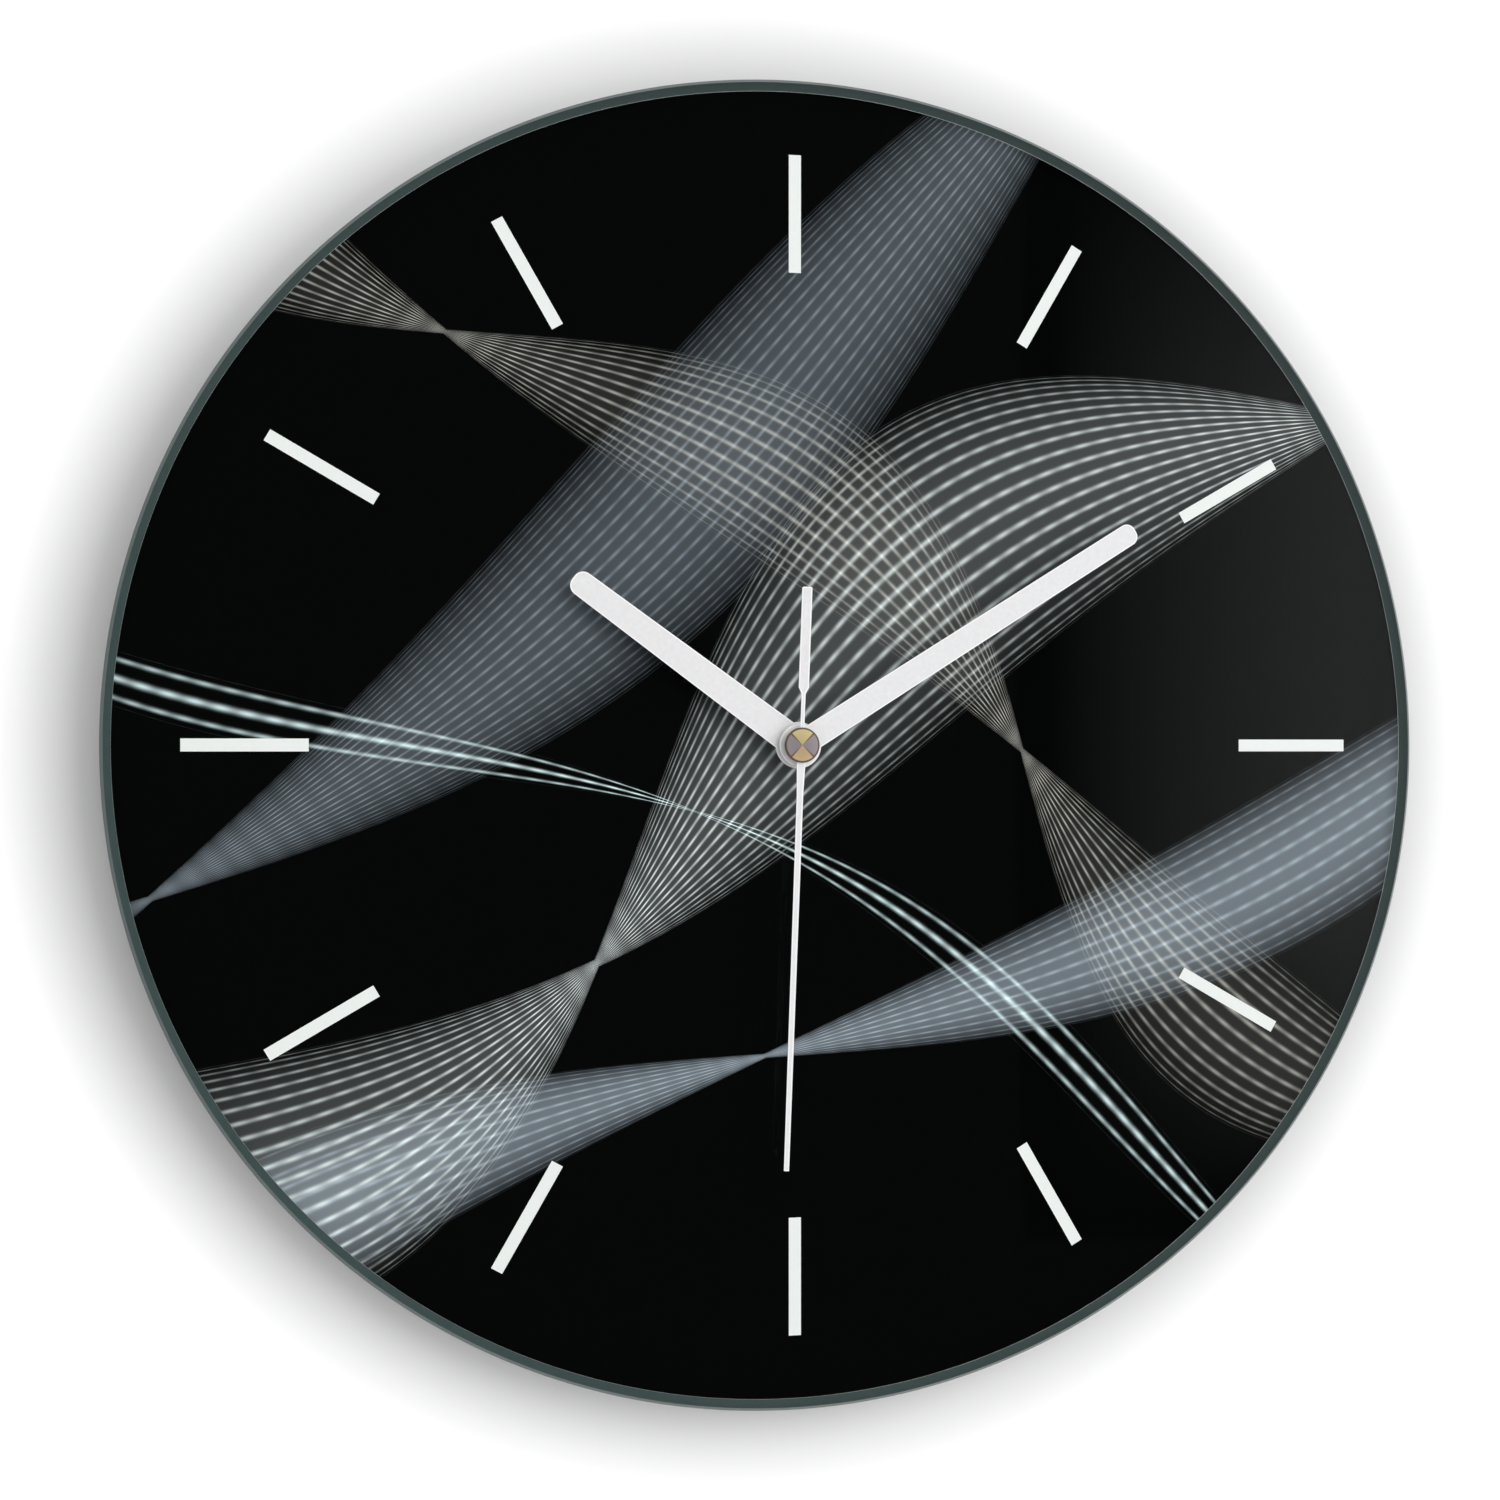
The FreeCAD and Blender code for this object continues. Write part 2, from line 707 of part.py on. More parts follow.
def gear_blank(name, module, thickness, start, phase):
    """A toothed disc whose first tooth points at the phase, an angle in radians."""
    count = tooth_count(name)
    pitch_radius = count * module / 2
    root = pitch_radius - size("dedendum_share") * module
    tip = pitch_radius + size("addendum_share") * module
    low = max(root, pitch_radius * math.cos(math.radians(size("pressure_angle"))))
    pitch_half_angle = (math.pi * module / 2 - size("tooth_play")) / (2 * pitch_radius)
    low_half, middle_half, tip_half = [
        tooth_half_angle(radius, pitch_radius, pitch_half_angle) for radius in (low, pitch_radius, tip)
    ]

    def point(radius, angle):
        return FreeCAD.Vector(radius * math.cos(angle), radius * math.sin(angle), start)

    edges = []
    for i in range(count):
        centre = phase + math.tau * i / count
        gap = centre + math.pi / count
        after = centre + math.tau / count
        rise = [point(low, centre - low_half), point(pitch_radius, centre - middle_half)]
        crest = [point(tip, centre - tip_half), point(tip, centre), point(tip, centre + tip_half)]
        fall = [point(pitch_radius, centre + middle_half), point(low, centre + low_half)]
        if low > root:
            edges.append(Part.LineSegment(point(root, centre - low_half), rise[0]))
        edges.append(Part.Arc(rise[0], rise[1], crest[0]))
        edges.append(Part.Arc(*crest))
        edges.append(Part.Arc(crest[2], fall[0], fall[1]))
        if low > root:
            edges.append(Part.LineSegment(fall[1], point(root, centre + low_half)))
        valley = [point(root, centre + low_half), point(root, gap), point(root, after - low_half)]
        edges.append(Part.Arc(*valley))
    wire = Part.Wire([edge.toShape() for edge in edges])
    return Part.Face(wire).extrude(FreeCAD.Vector(0, 0, thickness))


def bar(radius, start, end):
    return Part.makeCylinder(radius, end - start, FreeCAD.Vector(0, 0, start))


def module_of(one, one_arbor, other, other_arbor):
    """The module that makes two toothed pieces mesh at the distance between their arbors."""
    distance = math.dist(place(one_arbor), place(other_arbor))
    return 2 * distance / (tooth_count(one) + tooth_count(other))


def meshing_phase(one, one_arbor, one_phase, other, other_arbor):
    """The phase at which another toothed piece's gap faces this one's tooth along the line of centres."""
    one_across, one_up = place(one_arbor)
    other_across, other_up = place(other_arbor)
    heading = math.atan2(other_up - one_up, other_across - one_across)
    here = (heading - one_phase) * tooth_count(one) / math.tau
    return heading + math.pi - (0.5 - here) * math.tau / tooth_count(other)


def moulded(label, pieces, arbor, bore=0.0):
    """One moulding of coaxial discs and bars, bored if it runs on a shaft, at its arbor's place."""
    solid = pieces[0].fuse(pieces[1:]).removeSplitter()
    if bore:
        low = solid.BoundBox.ZMin - size("overrun")
        high = solid.BoundBox.ZMax + size("overrun")
        solid = solid.cut(bar(bore, low, high))
    part = new_feature(label, solid.Solids[0])
    stand(part, *ARBORS[arbor])


def arbor_with_pivots():
    """Plain arbor between the case's floor and the plate, with a thin pivot that runs in each."""
    floor = size("case_wall") + size("end_play")
    front = size("plate_level") - size("end_play")
    tail = size("case_wall") - size("pivot_depth")
    return [bar(size("arbor_radius"), floor, front), bar(size("pivot_radius"), tail, size("plate_front"))]


def make_train():
    """Wheels and pinions from the rotor to the hour tube, each in mesh with the next."""
    thick = size("wheel_thickness")
    lap = size("pinion_overlap")
    play = size("end_play")
    third_module = module_of("second_pinion", "centre", "third_wheel", "third")
    centre_module = module_of("third_pinion", "third", "centre_wheel", "centre")
    second_module = module_of("intermediate_pinion", "intermediate", "second_wheel", "centre")
    rotor_module = module_of("rotor_pinion", "rotor", "intermediate_wheel", "intermediate")
    cannon_module = module_of("cannon_pinion", "centre", "minute_wheel", "minute")
    hour_module = module_of("minute_pinion", "minute", "hour_wheel", "centre")

    # rotor pinion on its arbor
    level = size("intermediate_level")
    pinion = gear_blank("rotor_pinion", rotor_module, thick + 2 * lap, level - lap, 0.0)
    moulded("rotor_pinion", [pinion] + arbor_with_pivots(), "rotor")

    # intermediate wheel with its pinion behind it
    phase = meshing_phase("rotor_pinion", "rotor", 0.0, "intermediate_wheel", "intermediate")
    wheel = gear_blank("intermediate_wheel", rotor_module, thick, level, phase)
    start = size("second_level") - play
    pinion = gear_blank("intermediate_pinion", second_module, level - start, start, phase)
    moulded("intermediate_wheel", [wheel, pinion] + arbor_with_pivots(), "intermediate")

    # second wheel with its pinion in front of it, bored for the steel arbor
    phase = meshing_phase("intermediate_pinion", "intermediate", phase, "second_wheel", "centre")
    level = size("second_level")
    wheel = gear_blank("second_wheel", second_module, thick, level, phase)
    start = size("third_level") - lap
    pinion = gear_blank("second_pinion", third_module, thick + 2 * lap, start, phase)
    hub = bar(size("second_hub_radius"), level - play, start)
    moulded("second_wheel", [hub, wheel, pinion], "centre", size("second_arbor_radius"))

    # third wheel with its pinion in front of it
    phase = meshing_phase("second_pinion", "centre", phase, "third_wheel", "third")
    level = size("third_level")
    wheel = gear_blank("third_wheel", third_module, thick, level, phase)
    end = size("centre_level") + thick + play
    pinion = gear_blank("third_pinion", centre_module, end - level - thick, level + thick, phase)
    moulded("third_wheel", [wheel, pinion] + arbor_with_pivots(), "third")

    # centre wheel, held on the minute tube's stub by the slipping fit
    phase = meshing_phase("third_pinion", "third", phase, "centre_wheel", "centre")
    level = size("centre_level")
    wheel = gear_blank("centre_wheel", centre_module, thick, level, phase)
    hub = bar(size("centre_hub_radius"), level + thick, size("plate_level") - play)
    moulded("centre_wheel", [wheel, hub], "centre", size("minute_stub_radius"))

    # minute tube with the cannon pinion in front of the plate
    start = size("plate_front") + play
    end = size("minute_wheel_level") + thick + play
    pinion = gear_blank("cannon_pinion", cannon_module, end - start, start, 0.0)
    stub = bar(size("minute_stub_radius"), level, start)
    hand_front = size("minute_hand_back") + size("hand_thickness")
    tube = bar(size("minute_tube_radius"), end, hand_front + size("tube_stand"))
    bore = size("second_arbor_radius") + size("shaft_clearance")
    moulded("minute_tube", [stub, pinion, tube], "centre", bore)

    # minute wheel and pinion, which turn on the plate's post
    phase = meshing_phase("cannon_pinion", "centre", 0.0, "minute_wheel", "minute")
    level = size("minute_wheel_level")
    wheel = gear_blank("minute_wheel", cannon_module, thick, level, phase)
    end = size("hour_level") + thick + lap
    pinion = gear_blank("minute_pinion", hour_module, end - level - thick, level + thick, phase)
    moulded("minute_wheel", [wheel, pinion], "minute", size("minute_post_radius") + size("shaft_clearance"))

    # setting pinion, whose shaft comes from the knob through the well's floor and the plate
    knob_phase = meshing_phase("minute_wheel", "minute", phase, "setting_pinion", "setting")
    length = level + thick + lap - start
    pinion = gear_blank("setting_pinion", cannon_module, length, start, knob_phase)
    shaft = bar(size("setting_shaft_radius"), size("knob_recess") + size("knob_face_depth"), start)
    moulded("setting_pinion", [shaft, pinion], "setting")

    # hour wheel with its hub and the tube that carries the hour hand
    phase = meshing_phase("minute_pinion", "minute", phase, "hour_wheel", "centre")
    level = size("hour_level")
    wheel = gear_blank("hour_wheel", hour_module, thick, level, phase)
    shoulder = size("case_front") - play
    hub = bar(size("hour_hub_radius"), level + thick, shoulder)
    tube = bar(size("hour_tube_radius"), shoulder, size("hour_hand_back") + size("hand_thickness"))
    bore = size("minute_tube_radius") + size("shaft_clearance")
    moulded("hour_wheel", [wheel, hub, tube], "centre", bore)


def make_second_arbor():
    """Steel arbor from the case's floor to the second hand."""
    body = new_body("second_arbor")
    pivot = new_sketch(body, "case_wall - pivot_depth")
    draw_circle(pivot, "pivot_radius")
    pad(body, pivot, "pivot_depth + end_play")
    shank = new_sketch(body, "case_wall + end_play")
    draw_circle(shank, "second_arbor_radius")
    pad(body, shank, "second_hand_back + second_hand_thickness - case_wall - end_play")
    stand(body)


def make_knob():
    """Knurled setting knob, set back in its well so that the case still lies flat on the wall."""
    body = new_body("setting_knob")
    outline = new_sketch(body)
    draw_circle(outline, "knob_radius")
    pad(body, outline, "knob_thickness")
    groove = new_sketch(body, "knob_thickness")
    draw_circle(groove, "knob_groove_radius", "knob_radius")
    first = pocket(body, groove, "knob_thickness + overrun")
    repeat_round(body, first, groove, "knob_groove_count")
    face = new_sketch(body, "knob_face_depth")
    draw_circle(face, "knob_face_radius")
    pocket(body, face, "knob_face_depth + overrun")
    bore = new_sketch(body, "knob_thickness")
    draw_circle(bore, "setting_shaft_radius")
    pocket(body, bore, "knob_thickness + overrun")
    stand(body, across="setting_across", out="knob_recess")


# Motor

def make_magnet():
    """Two-pole disc magnet pressed on the rotor's arbor, level with the stator."""
    body = new_body("rotor_magnet")
    outline = new_sketch(body)
    draw_circle(outline, "magnet_radius")
    draw_circle(outline, "arbor_radius")
    pad(body, outline, "magnet_thickness")
    middle = "stator_level + stator_thickness / 2 - magnet_thickness / 2"
    stand(body, across="rotor_across", up="rotor_up", out=middle)


def make_stator():
    """Flat iron plate: a bar with two legs up to the coil's core, and a ring round the rotor."""
    body = new_body("stator")
    left = "(coil_across - stator_half_span)"
    right = "(coil_across + stator_half_span)"
    outline = new_sketch(body)
    corners = [
        (left, "stator_bottom"),
        (right, "stator_bottom"),
        (right, "stator_top"),
        (right + " - stator_leg_width", "stator_top"),
        (right + " - stator_leg_width", "stator_bar_top"),
        (left + " + stator_leg_width", "stator_bar_top"),
        (left + " + stator_leg_width", "stator_top"),
        (left, "stator_top"),
    ]
    draw_outline(outline, corners)
    pad(body, outline, "stator_thickness")
    ring = new_sketch(body)
    draw_circle(ring, "stator_ring_radius", "rotor_across", "rotor_up")
    pad(body, ring, "stator_thickness")
    hole = new_sketch(body, "stator_thickness")
    draw_circle(hole, "stator_hole_radius", "rotor_across", "rotor_up")
    pocket(body, hole, "stator_thickness + overrun")
    stand(body, out="stator_level")


def make_core():
    """Iron bar through the coil, which lies on the stator's legs."""
    core = document.addObject("Part::Box", "coil_core")
    core.Label = "coil_core"
    bind(core, "Length", "2 * stator_half_span")
    bind(core, "Width", "core_width")
    bind(core, "Height", "core_thickness")
    stand(core, "coil_across - stator_half_span", "coil_up - core_width / 2", "stator_front")


def make_bobbin():
    """Plastic spool with a flange at each end and a square way through for the core."""
    body = new_body("coil_bobbin")
    half = "bobbin_half_length"
    inside = "(bobbin_half_length - bobbin_flange_thickness)"
    profile = new_sketch(body)
    corners = [
        ("-" + half, "0"),
        (half, "0"),
        (half, "bobbin_flange_radius"),
        (inside, "bobbin_flange_radius"),
        (inside, "bobbin_core_radius"),
        ("-" + inside, "bobbin_core_radius"),
        ("-" + inside, "bobbin_flange_radius"),
        ("-" + half, "bobbin_flange_radius"),
    ]
    draw_outline(profile, corners)
    revolve(body, profile, "H_Axis")
    way = new_sketch(body, "core_thickness / 2 + core_clearance")
    tall = "core_width / 2 + core_clearance"
    wide = half + " + overrun"
    draw_rectangle(way, "-" + half + " - overrun", wide, "-core_width / 2 - core_clearance", tall)
    pocket(body, way, "core_thickness + 2 * core_clearance")
    stand(body, "coil_across", "coil_up", "stator_front + core_thickness / 2")


def make_winding():
    """Fine copper wire, wound so closely that it is one smooth sleeve."""
    body = new_body("coil_winding")
    inside = "(bobbin_half_length - bobbin_flange_thickness)"
    profile = new_sketch(body)
    draw_rectangle(profile, "-" + inside, inside, "bobbin_core_radius", "winding_radius")
    revolve(body, profile, "H_Axis")
    stand(body, "coil_across", "coil_up", "stator_front + core_thickness / 2")


# Circuit board and contacts

def make_board():
    """Printed circuit board that lies on the front of the plate."""
    board = document.addObject("Part::Box", "circuit_board")
    board.Label = "circuit_board"
    bind(board, "Length", "board_width")
    bind(board, "Width", "board_height")
    bind(board, "Height", "board_thickness")
    stand(board, "board_left", "board_bottom", "plate_front")


def make_chip():
    """Low drop of black resin over the bare chip."""
    body = new_body("driver_chip")
    outline = new_sketch(body)
    draw_circle(outline, "chip_radius")
    drop = pad(body, outline, "chip_height")
    rim = round_edge(size("chip_radius"), size("chip_height"))
    round_corners(body, drop, "chip_height * chip_rounding_share", rim)
    stand(body, "chip_across", "chip_up", "plate_front + board_thickness")


def make_crystal():
    """Quartz crystal in its round can, lying on the board."""
    can = document.addObject("Part::Cylinder", "quartz_crystal")
    can.Label = "quartz_crystal"
    bind(can, "Radius", "crystal_radius")
    bind(can, "Height", "crystal_length")
    out = "plate_front + board_thickness + crystal_radius"
    stand(can, "chip_across - crystal_length / 2", "crystal_up", out)
    can.Placement.Rotation = FreeCAD.Rotation(FreeCAD.Vector(0, 1, 0), 90)


def strip_box(left, right, bottom, top, low, high):
    """One flat run of a contact strip, between six places given as numbers."""
    corner = FreeCAD.Vector(left, bottom, low)
    return Part.makeBox(right - left, top - bottom, high - low, corner)


def make_contact(label, side, dimple_radius, foot_edge):
    """Sprung strip: a pad at the bay's end, a tongue through the notch, and a foot on the board."""
    thick = size("strip_thickness")
    inner = size("strip_inner")
    outer = size("strip_outer")
    half = size("strip_half_height")
    up = size("cell_up")
    out = size("cell_out")
    high = size("case_front") - size("tongue_clearance")
    low = high - size("tongue_width")
    board = size("board_front")
    run_bottom = size("room_bottom") + thick
    run_top = run_bottom + thick
    foot_top = run_top + size("foot_length")
    dimple = size("dimple_height")
    tip = FreeCAD.Vector(inner - dimple, up, out)
    pieces = [
        strip_box(inner, outer, up - half, up + half, out - half, out + half),
        strip_box(inner, outer, up, run_top, low, high),
        Part.makeCylinder(dimple_radius, dimple, tip, FreeCAD.Vector(1, 0, 0)),
    ]
    if side > 0:
        pieces.append(strip_box(inner, outer, run_bottom, foot_top, board, high))
        pieces.append(strip_box(foot_edge, outer, run_bottom, foot_top, board, board + thick))
    else:
        foot_end = foot_edge - size("foot_width")
        pieces.append(strip_box(foot_end, outer, run_bottom, run_top, low, high))
        pieces.append(strip_box(foot_end, foot_edge, run_bottom, run_top, board, high))
        pieces.append(strip_box(foot_end, foot_edge, run_bottom, foot_top, board, board + thick))
    solid = pieces[0].fuse(pieces[1:]).removeSplitter()
    if side < 0:
        solid = solid.mirror(FreeCAD.Vector(), FreeCAD.Vector(1, 0, 0))
    part = new_feature(label, solid.Solids[0])
    stand(part)


def make_contacts():
    """The positive strip's foot is beside its own wall, and the negative strip crosses the case."""
    near = size("strip_outer") - size("foot_length") - size("tongue_width")
    far = -size("board_left") - size("foot_width")
    make_contact("contact_positive", 1, size("positive_dimple_radius"), near)
    make_contact("contact_negative", -1, size("negative_dimple_radius"), far)


def make_cell():
    """One AA cell: a drawn can with rounded rims and the raised nub of its positive end."""
    body = new_body("battery_cell")
    end = "(cell_length / 2)"
    shoulder = "(cell_length / 2 - cell_nub_length)"
    profile = new_sketch(body)
    corners = [
        ("-" + end, "0"),
        (end, "0"),
        (end, "cell_nub_radius"),
        (shoulder, "cell_nub_radius"),
        (shoulder, "cell_radius"),
        ("-" + end, "cell_radius"),
    ]
    draw_outline(profile, corners)
    can = revolve(body, profile, "H_Axis")
    radius = size("cell_radius")

    def is_rim(edge):
        return isinstance(edge.Curve, Part.Circle) and abs(edge.Curve.Radius - radius) < 1e-6 * radius

    round_corners(body, can, "cell_rounding", is_rim)
    stand(body, up="cell_up", out="cell_out")


# Hands

def hand_blade(body, root_width, tip_width, length):
    """The tapering blade of a hand, with its tip rounded."""
    blade = new_sketch(body)
    draw_bar(blade, root_width + " / 2", "0", length, tip_width + " / 2")
    feature = pad(body, blade, "hand_thickness")
    tip = size(length)

    def at_tip(edge):
        return is_upright(edge) and abs(edge.Vertexes[0].Point.y - tip) < 1e-6 * tip

    return round_corners(body, feature, tip_width + " * tip_rounding_share", at_tip)


def make_broad_hand(label, tube_radius, out):
    """Hour or minute hand, stamped from sheet aluminium and pressed on its tube."""
    body = new_body(label)
    hand_blade(body, label + "_root_width", label + "_tip_width", label + "_length")
    hub = new_sketch(body)
    draw_circle(hub, label + "_hub_radius")
    pad(body, hub, "hand_thickness")
    bore = new_sketch(body, "hand_thickness")
    draw_circle(bore, tube_radius)
    pocket(body, bore, "hand_thickness + overrun")
    stand(body, out=out, turn=-size(label + "_angle"))


def make_second_hand():
    """Second hand: a needle with a shoulder at its root, a broader tail on a neck, and a socket behind."""
    body = new_body("second_hand")
    hub = new_sketch(body)
    draw_circle(hub, "second_hand_hub_radius")
    pad(body, hub, "second_hand_thickness")
    needle = new_sketch(body)
    corners = [
        ("needle_shoulder_width / 2", "0"),
        ("second_hand_root_width / 2", "needle_shoulder_length"),
        ("second_hand_tip_width / 2", "second_hand_length"),
        ("-second_hand_tip_width / 2", "second_hand_length"),
        ("-second_hand_root_width / 2", "needle_shoulder_length"),
        ("-needle_shoulder_width / 2", "0"),
    ]
    draw_outline(needle, corners)
    pad(body, needle, "second_hand_thickness")
    tail = new_sketch(body)
    corners = [
        ("-tail_neck_width / 2", "0"),
        ("-tail_neck_width / 2", "-tail_neck_length"),
        ("-tail_width / 2", "-tail_neck_length - tail_shoulder_length"),
        ("-tail_width / 2", "-tail_length"),
        ("tail_width / 2", "-tail_length"),
        ("tail_width / 2", "-tail_neck_length - tail_shoulder_length"),
        ("tail_neck_width / 2", "-tail_neck_length"),
        ("tail_neck_width / 2", "0"),
    ]
    draw_outline(tail, corners)
    blade = pad(body, tail, "second_hand_thickness")
    end = size("tail_length")

    def at_tail_end(edge):
        return is_upright(edge) and abs(edge.Vertexes[0].Point.y + end) < 1e-6 * end

    round_corners(body, blade, "tail_rounding", at_tail_end)
    socket = new_sketch(body, "-socket_length")
    draw_circle(socket, "socket_radius")
    pad(body, socket, "socket_length")
    bore = new_sketch(body, "second_hand_thickness")
    draw_circle(bore, "second_arbor_radius")
    pocket(body, bore, "second_hand_thickness + socket_length + overrun")
    stand(body, out="second_hand_back", turn=-size("second_hand_angle"))


def make_cap():
    """Turned brass cap, fixed on the second hand's hub."""
    body = new_body("second_cap")
    profile = new_sketch(body, role="XZ_Plane")
    corners = [
        ("0", "0"),
        ("cap_radius", "0"),
        ("cap_radius", "cap_thickness - cap_bevel"),
        ("cap_radius - cap_bevel", "cap_thickness"),
        ("0", "cap_thickness"),
    ]
    draw_outline(profile, corners)
    revolve(body, profile, "V_Axis")
    stand(body, out="second_hand_back + second_hand_thickness")


make_glass()
make_film()
make_markers()
make_foam()
make_case_rear()
make_case_front()
make_plate()
make_train()
make_second_arbor()
make_knob()
make_magnet()
make_stator()
make_core()
make_bobbin()
make_winding()
make_board()
make_chip()
make_crystal()
make_contacts()
make_cell()
make_broad_hand("hour_hand", "hour_tube_radius", "hour_hand_back")
make_broad_hand("minute_hand", "minute_tube_radius", "minute_hand_back")
make_second_hand()
make_cap()
document.recompute()

for thing in document.Objects:
    if "Invalid" in thing.State or "Error" in thing.State:
        raise RuntimeError(thing.Label + " failed: " + str(thing.State))
for part in parts:
    if part.Shape.isNull() or not part.Shape.isValid() or not part.Shape.Solids:
        raise RuntimeError(part.Label + " has no valid solid")

os.makedirs("parts", exist_ok=True)
for part in parts:
    part.Shape.exportStep("parts/" + part.Label + ".step")
print("wrote", len(parts), "parts")
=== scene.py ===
import json
import math

import bmesh
import bpy
from mathutils import Matrix, Vector


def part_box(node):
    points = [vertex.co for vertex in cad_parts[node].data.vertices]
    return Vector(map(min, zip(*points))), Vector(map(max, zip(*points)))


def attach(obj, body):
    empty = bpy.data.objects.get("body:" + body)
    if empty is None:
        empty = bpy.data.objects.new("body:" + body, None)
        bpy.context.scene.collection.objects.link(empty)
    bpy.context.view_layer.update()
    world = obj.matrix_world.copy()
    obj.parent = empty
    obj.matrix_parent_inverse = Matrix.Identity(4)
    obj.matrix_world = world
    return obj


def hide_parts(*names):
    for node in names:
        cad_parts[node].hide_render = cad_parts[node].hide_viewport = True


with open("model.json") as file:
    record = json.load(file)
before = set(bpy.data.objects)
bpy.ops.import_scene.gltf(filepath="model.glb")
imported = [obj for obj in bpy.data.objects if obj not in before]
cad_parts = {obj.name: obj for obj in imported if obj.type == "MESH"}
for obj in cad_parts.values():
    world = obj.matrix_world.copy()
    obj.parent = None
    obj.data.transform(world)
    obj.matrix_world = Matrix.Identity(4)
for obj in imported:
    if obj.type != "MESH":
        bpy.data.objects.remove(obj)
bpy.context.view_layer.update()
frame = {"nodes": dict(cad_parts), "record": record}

# Camera: close to the clock, a little to its left and level with its middle, where the outline, the
# markers and the hands fall as they do in the picture.
IMAGE_PIXELS = 1500
FOCAL_PIXELS = 1687.0
SENSOR_MM = 36.0
CAMERA_DISTANCE = 0.38
CAMERA_AZIMUTH = math.radians(-9.38)
CAMERA_ELEVATION = math.radians(0.0)
CAMERA_TARGET = Vector((-0.01045, -0.0200, -0.00108))
NEAREST_SEEN = 0.01
camera_data = bpy.data.cameras.new("camera")
camera_data.sensor_width = SENSOR_MM
camera_data.lens = SENSOR_MM * FOCAL_PIXELS / IMAGE_PIXELS
camera = bpy.data.objects.new("camera", camera_data)
level = math.cos(CAMERA_ELEVATION)
towards_camera = Vector((
    math.sin(CAMERA_AZIMUTH) * level,
    -math.cos(CAMERA_AZIMUTH) * level,
    math.sin(CAMERA_ELEVATION),
))
camera.location = CAMERA_TARGET + CAMERA_DISTANCE * towards_camera
camera.rotation_euler = towards_camera.to_track_quat("Z", "Y").to_euler()
camera_data.clip_start = NEAREST_SEEN
bpy.context.scene.collection.objects.link(camera)
bpy.context.scene.camera = camera
bpy.context.scene.view_settings.view_transform = "Standard"

# Glass disc: toughened float glass, 4 mm. It is cut round, drilled in the middle, and its edge is ground
# satin with a bevel on both rims. The back bevel is seen through the glass as a dark green band: the glass's
# own green, darkened with painted shade of what lies behind the edge.
GLASS_SEGMENTS = 512
FRONT_ARRIS = 0.0009
BACK_ARRIS = 0.00196
OPTICAL_GAP = 0.00005
GLASS_TINT = (0.965, 0.985, 0.978)
# Both edge greens are the glass's green darkened with painted shade.
EDGE_GREEN_WITH_SHADE = (0.009, 0.026, 0.025)
EDGE_PALER_GREEN_WITH_SHADE = (0.032, 0.068, 0.064)
GLASS_IOR = 1.52
CLEAR_TINT = (0.98, 0.99, 0.985)
HOLE_RADIUS = 0.004


def new_material(name):
    """A material with one shader, and the tree that feeds it."""
    material = bpy.data.materials.new(name)
    material.use_nodes = True
    tree = material.node_tree
    return material, tree, tree.nodes["Principled BSDF"]


def joined(tree, kind, values, **settings):
    """A node of that kind with its inputs set or linked by name or number."""
    node = tree.nodes.new(kind)
    for name, value in settings.items():
        setattr(node, name, value)
    for name, value in values.items():
        socket = node.inputs[name]
        if isinstance(value, bpy.types.NodeSocket):
            tree.links.new(value, socket)
        else:
            socket.default_value = value
    return node


def noise(tree, scale, detail=3.0, roughness=0.5, stretch=(1.0, 1.0, 1.0)):
    """Noise on the object's own coordinates, from 0 to 1, with features of 1 / scale metres."""
    place = tree.nodes.new("ShaderNodeTexCoord").outputs["Object"]
    if stretch != (1.0, 1.0, 1.0):
        place = joined(tree, "ShaderNodeMapping", {"Vector": place, "Scale": stretch}).outputs[0]
    values = {"Vector": place, "Scale": scale, "Detail": detail, "Roughness": roughness}
    return joined(tree, "ShaderNodeTexNoise", values).outputs[0]


def between(tree, factor, low, high, start=0.0, end=1.0):
    """A number that runs from low to high as the factor runs from start to end."""
    values = {"Value": factor, "From Min": start, "From Max": end, "To Min": low, "To Max": high}
    return joined(tree, "ShaderNodeMapRange", values).outputs[0]


def mixed(tree, factor, one, other):
    """A colour between two colours."""
    node = joined(tree, "ShaderNodeMix", {0: factor}, data_type="RGBA")
    for socket, value in ((node.inputs[6], one), (node.inputs[7], other)):
        if isinstance(value, bpy.types.NodeSocket):
            tree.links.new(value, socket)
        else:
            socket.default_value = (*value, 1.0)
    return node.outputs[2]


def bumped(tree, shader, height, distance):
    """Raises the shader's surface by the height, a number from 0 to 1, times the distance."""
    values = {"Height": height, "Distance": distance, "Strength": 1.0}
    tree.links.new(joined(tree, "ShaderNodeBump", values).outputs[0], shader.inputs["Normal"])


def turned(name, outline, segments, materials, smooth_angle=30.0):
    """A closed ring or solid, turned about the dial's axis from an outline of (radius, y, material) corners.

    The material is the number of the one on the face that runs to the next corner."""
    bm = bmesh.new()
    rings = []
    for radius, y, _ in outline:
        if radius == 0.0:
            rings.append([bm.verts.new((0.0, y, 0.0))])
            continue
        turns = [math.tau * i / segments for i in range(segments)]
        rings.append([bm.verts.new((radius * math.sin(t), y, radius * math.cos(t))) for t in turns])
    for number, ring in enumerate(rings):
        other = rings[(number + 1) % len(rings)]
        if len(ring) == 1 and len(other) == 1:
            continue
        for i in range(segments):
            j = (i + 1) % segments
            near_side = [ring[i % len(ring)], ring[j % len(ring)]]
            far_side = [other[j % len(other)], other[i % len(other)]]
            face = bm.faces.new(list(dict.fromkeys(near_side + far_side)))
            face.material_index = outline[number][2]
            face.smooth = True
    bmesh.ops.recalc_face_normals(bm, faces=bm.faces)
    mesh = bpy.data.meshes.new(name)
    bm.to_mesh(mesh)
    bm.free()
    mesh.set_sharp_from_angle(angle=math.radians(smooth_angle))
    for material in materials:
        mesh.materials.append(material)
    thing = bpy.data.objects.new(name, mesh)
    bpy.context.scene.collection.objects.link(thing)
    return thing


